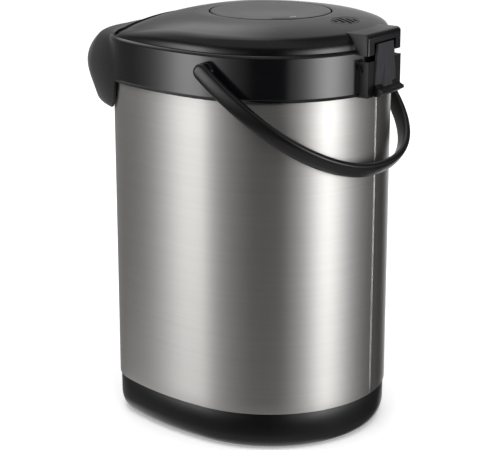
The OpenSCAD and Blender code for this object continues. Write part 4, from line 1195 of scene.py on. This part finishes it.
def build_bottom():
    """Bottom plate with a stiffening bead, four feet and four screws."""
    angles = round_body()
    rows = [(14.6, 3), (14.15, 2.9), (14.0, 2.5), (14.0, 0.5), (14.15, 0.1), (14.6, 0), (24, 0), (24.6, 0.2),
            (25, 0.6), (29, 0.6), (29.4, 0.2), (30, 0)]
    skin = [ring(BODY_ARCS, angles, inset, z) for inset, z in rows]
    middle = [skin[-1] * (share, share, 1) for share in (0.8, 0.5, 0.2, 0.01)]
    cover = [m + (0, 0, 3) for m in middle[::-1]]
    plate = raw("base_plate_moulding", *loops(skin + middle + cover))
    holes = [mirrored(lathe([(r, -1), (r, z)], (x, y), 40, closed=False))
             for x, y in SCREWS_AT for r, z in ((3.3, 2.6), (1.65, 5))]
    pits = [mirrored(lathe([(9, -1), (9, 1.2)], (x, y), 64, closed=False)) for x, y in FEET_AT]
    carve(plate, *holes, *pits)
    finish_piece(plate, "pot", "black_plastic", ["base_plate"], angle=35)
    foot = [(0.01, 1.2), (9, 1.2), (9, 0.3), (8.8, 0.08), (8.4, 0), (7, 0), (6.6, 0.3), (5.6, 0.3), (5.2, 0),
            (0.01, 0)]
    simple("rubber_feet", "pot", "black_rubber", ["feet"], gather(
        *[mirrored(lathe(foot, at, 64)) for at in FEET_AT]))
    for k, (x, y) in enumerate(SCREWS_AT):
        inputs = {"Head radius": 0.0032, "Head height": 0.002, "Shaft radius": 0.0016, "Length": 0.0066,
                  "Slot width": 0.0008, "Half distance": x * MM, "Place Y": y * MM, "Place Z": 0.0006,
                  "Finish": FINISH["plain_steel"]}
        tree, sockets = screw_tree(inputs)
        screws = grow(f"base_screw_pair_{k + 1}", tree, sockets, inputs)
        finish_piece(screws, "pot", "plain_steel", ["base_screws"] if k == 0 else (), angle=30)


def build_pump_parts():
    """Spring and bellows under the press plate."""
    inputs = {"Turns": 5.5, "Radius": 0.013, "Wire radius": 0.0009, "Height": 0.0144, "Bottom": 0.35345,
              "Finish": FINISH["plain_steel"]}
    tree, sockets = coil_tree(inputs)
    spring = grow("pump_spring_coil", tree, sockets, inputs)
    finish_piece(spring, "lid", "plain_steel", ["pump_spring"], angle=60)
    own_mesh(spring)
    outer = [(41 + 2.9 * math.cos(k * math.pi / 4), 352.6 + 16.1 * k / 32) for k in range(33)]
    bellows = simple("pump_bellows_folds", "lid", "pale_silicone", ["pump_bellows"],
                     lathe(outer + [(r - 1.2, z) for r, z in outer[::-1]], n=96), 70)
    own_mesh(bellows)


build_front()
build_inlet()
build_bottom()
build_pump_parts()
build_wrap()
build_shoulder()
build_lid()
build_lid_fittings()
build_pump()
build_hinge()
build_detach_lever()
build_handle()
build_base()

# ---------------------------------------------------------------- CAD nodes that stay
PLAIN = {
    "inner_steel": "vessel lid_inner",
    "pale_silicone": "vessel_seal thermal_fuse outlet_fitting spout_elbow harness lid_gasket steam_duct pump_stem"
                     " pump_bellows",
    "felt_wrap": "insulation",
    "plain_steel": "support_skirt heat_shield bracket_screws hinge_pin base_screws lid_screws arm_screws"
                   " lever_pin_rod latch_bolt pump_spring",
    "cast_heater": "heater_plate",
    "band_brass": "band_heater inlet_contacts",
    "black_plastic": "thermostat power_inlet base_plate front_panel hinge_arms lid_base hood_floor spout_nozzle",
    "clear_glass": "gauge_tube gauge_window",
    "board_green": "control_board",
    "black_rubber": "feet",
    "amber_lens": "lamp_lenses",
    "lock_grey": "reboil_button",
    "charcoal_plastic": "control_bezel",
}
for finish, names in PLAIN.items():
    for node in names.split():
        mesh = NODES[node].data
        if len(mesh.materials):
            for k in range(len(mesh.materials)):
                mesh.materials[k] = FINISH[finish]
        else:
            mesh.materials.append(FINISH[finish])


# ---------------------------------------------------------------- studio
# strength of the light tent by direction in degrees, from the front (0) through +X (90) to the rear (180)
TENT = ((-60, 0), (24, 0.0), (32, 0.3), (38, 0.9), (43, 2.1), (48, 3.8), (53, 4.6), (59, 3.9), (66, 2.3), (74, 1.2),
        (83, 0.65), (92, 0.35), (100, 0.2), (108, 0), (137, 0), (139, 0.35), (147, 0.8), (154, 1.6), (160, 3.0),
        (168, 5.1), (175, 6.6), (183, 5.5), (191, 3.4), (200, 1.6), (210, 0.7), (222, 0.35), (236, 0.15), (246, 0))
WALL = ((-60, 0), (-52, 0.35), (0, 0.25), (30, 0.15), (60, 0.1), (75, 0.08), (100, 0.02), (136, 0.02), (142, 0.1),
        (180, 0.2), (205, 0.2), (225, 0.1), (272, 0.03), (276, 0))
FAR = ((-60, 0), (-48, 1.2), (10, 0.9), (40, 0.3), (70, 0.4), (140, 0.4), (170, 0.2), (210, 0.1), (276, 0.1))
BACK = ((-60, 1), (-50, 0), (268, 0), (274, 1), (300, 1))
TENT_TOP = (8, 18)


def not_bounced(tree):
    """1 for what the camera, metal and glass see, 0 for the light that falls on the object."""
    path = Wire(tree).add("ShaderNodeLightPath")
    return (path + path.pick("Is Glossy Ray") + path.pick("Is Transmission Ray")).maths("MINIMUM", 1.0)


def build_studio():
    """World, pale floor, light tent and two soft lamps."""
    world = bpy.data.worlds.new("studio_room")
    scene.world = world
    world.use_nodes = True
    tree = world.node_tree
    seen = not_bounced(tree)
    background = tree.nodes["Background"]
    background.inputs["Color"].default_value = (1, 1, 1, 1)
    tree.links.new((seen * 0.35 + 0.65).socket, background.inputs["Strength"])

    v, f = slab_of([(6 * math.cos(t), 6 * math.sin(t)) for t in np.linspace(0, 2 * math.pi, 96, endpoint=False)],
                   "Z", -0.02, 0.0)
    floor = raw("studio_floor", v / MM, f)
    paint = bpy.data.materials.new("pale_floor")
    paint.use_nodes = True
    tree = paint.node_tree
    shader = tree.nodes["Principled BSDF"]
    shader.inputs["Base Color"].default_value = (0.9, 0.9, 0.9, 1)
    shader.inputs["Roughness"].default_value = 0.9
    shader.inputs["Specular IOR Level"].default_value = 0.1
    tree.links.new((not_bounced(tree) * 0.3).socket, shader.inputs["Emission Strength"])
    shader.inputs["Emission Color"].default_value = (1, 1, 1, 1)
    floor.data.materials.append(paint)
    floor.visible_glossy = False

    # light tent, seen only in reflections: two tall soft panels on a dark wall, white where it faces the far side
    n = 120
    a = np.radians(np.linspace(-60, 300, n))
    rows = []
    for r, z in [(0.25, -0.45), (0.9, -0.6), (1.3, -0.35), (1.42, 0.1), (1.42, 0.6), (1.3, 1.1), (1.0, 1.5),
                 (0.5, 1.8), (0.02, 1.9)]:
        rows.append(np.column_stack([r * np.sin(a), -r * np.cos(a), np.full(n, z)]))
    grid = np.array(rows)
    verts = grid.reshape(-1, 3)
    faces = [(i * n + j, i * n + j + 1, (i + 1) * n + j + 1, (i + 1) * n + j)
             for i in range(len(rows) - 1) for j in range(n - 1)]
    mesh = bpy.data.meshes.new("light_tent")
    mesh.from_pydata(verts.tolist(), [], faces)
    tent = bpy.data.objects.new("light_tent", mesh)
    scene.collection.objects.link(tent)
    glow = bpy.data.materials.new("tent_glow")
    glow.use_nodes = True
    tree = glow.node_tree
    tree.nodes.remove(tree.nodes["Principled BSDF"])
    place = Wire(tree).add("ShaderNodeTexCoord", out=3)
    xyz = place.add("ShaderNodeSeparateXYZ", None, {0: place})
    x, y, z = xyz, xyz.pick("Y"), xyz.pick("Z")
    turn = x.maths("ARCTAN2", y * -1) * (180 / math.pi)
    turn = turn + (turn.maths("LESS_THAN", -60.0)) * 360
    share = (turn + 60) / 360
    panels, dim, far, back = (
        share.add("ShaderNodeValToRGB", {"stops": [((p + 60) / 360, s / 10) for p, s in table]}, {"Fac": share})
        for table in (TENT, WALL, FAR, BACK))
    reach = (x * x + y * y).maths("SQRT")
    lift = (z - 0.2).maths("ARCTAN2", reach) * (180 / math.pi)
    window = lift.between(-14, -8) * (1 - lift.between(*TENT_TOP))
    beyond = (1 - lift.between(-40, -32)) + lift.between(26, 36)
    strength = (window * panels + dim * (1 - lift.between(30, 60) * 0.8) + far * beyond
                + back * (1 - lift.between(3, 12) * 0.5)) * 10
    emission = strength.add("ShaderNodeEmission", None, {"Strength": strength})
    tree.links.new(emission.socket, tree.nodes["Material Output"].inputs["Surface"])
    tent.data.materials.append(glow)
    tent.visible_camera = tent.visible_diffuse = tent.visible_shadow = tent.visible_transmission = False

    for name, place, size, power in (("top_softbox", (0.5, 0.3, 2.2), 1.6, 26),
                                     ("rear_fill", (-1.4, -1.2, 1.6), 1.2, 10)):
        data = bpy.data.lights.new(name, "AREA")
        data.size, data.energy = size, power
        lamp = bpy.data.objects.new(name, data)
        lamp.location = place
        lamp.rotation_euler = (Vector(place) - Vector((0, 0, 0.15))).to_track_quat("Z", "Y").to_euler()
        lamp.visible_glossy = False
        scene.collection.objects.link(lamp)


build_studio()
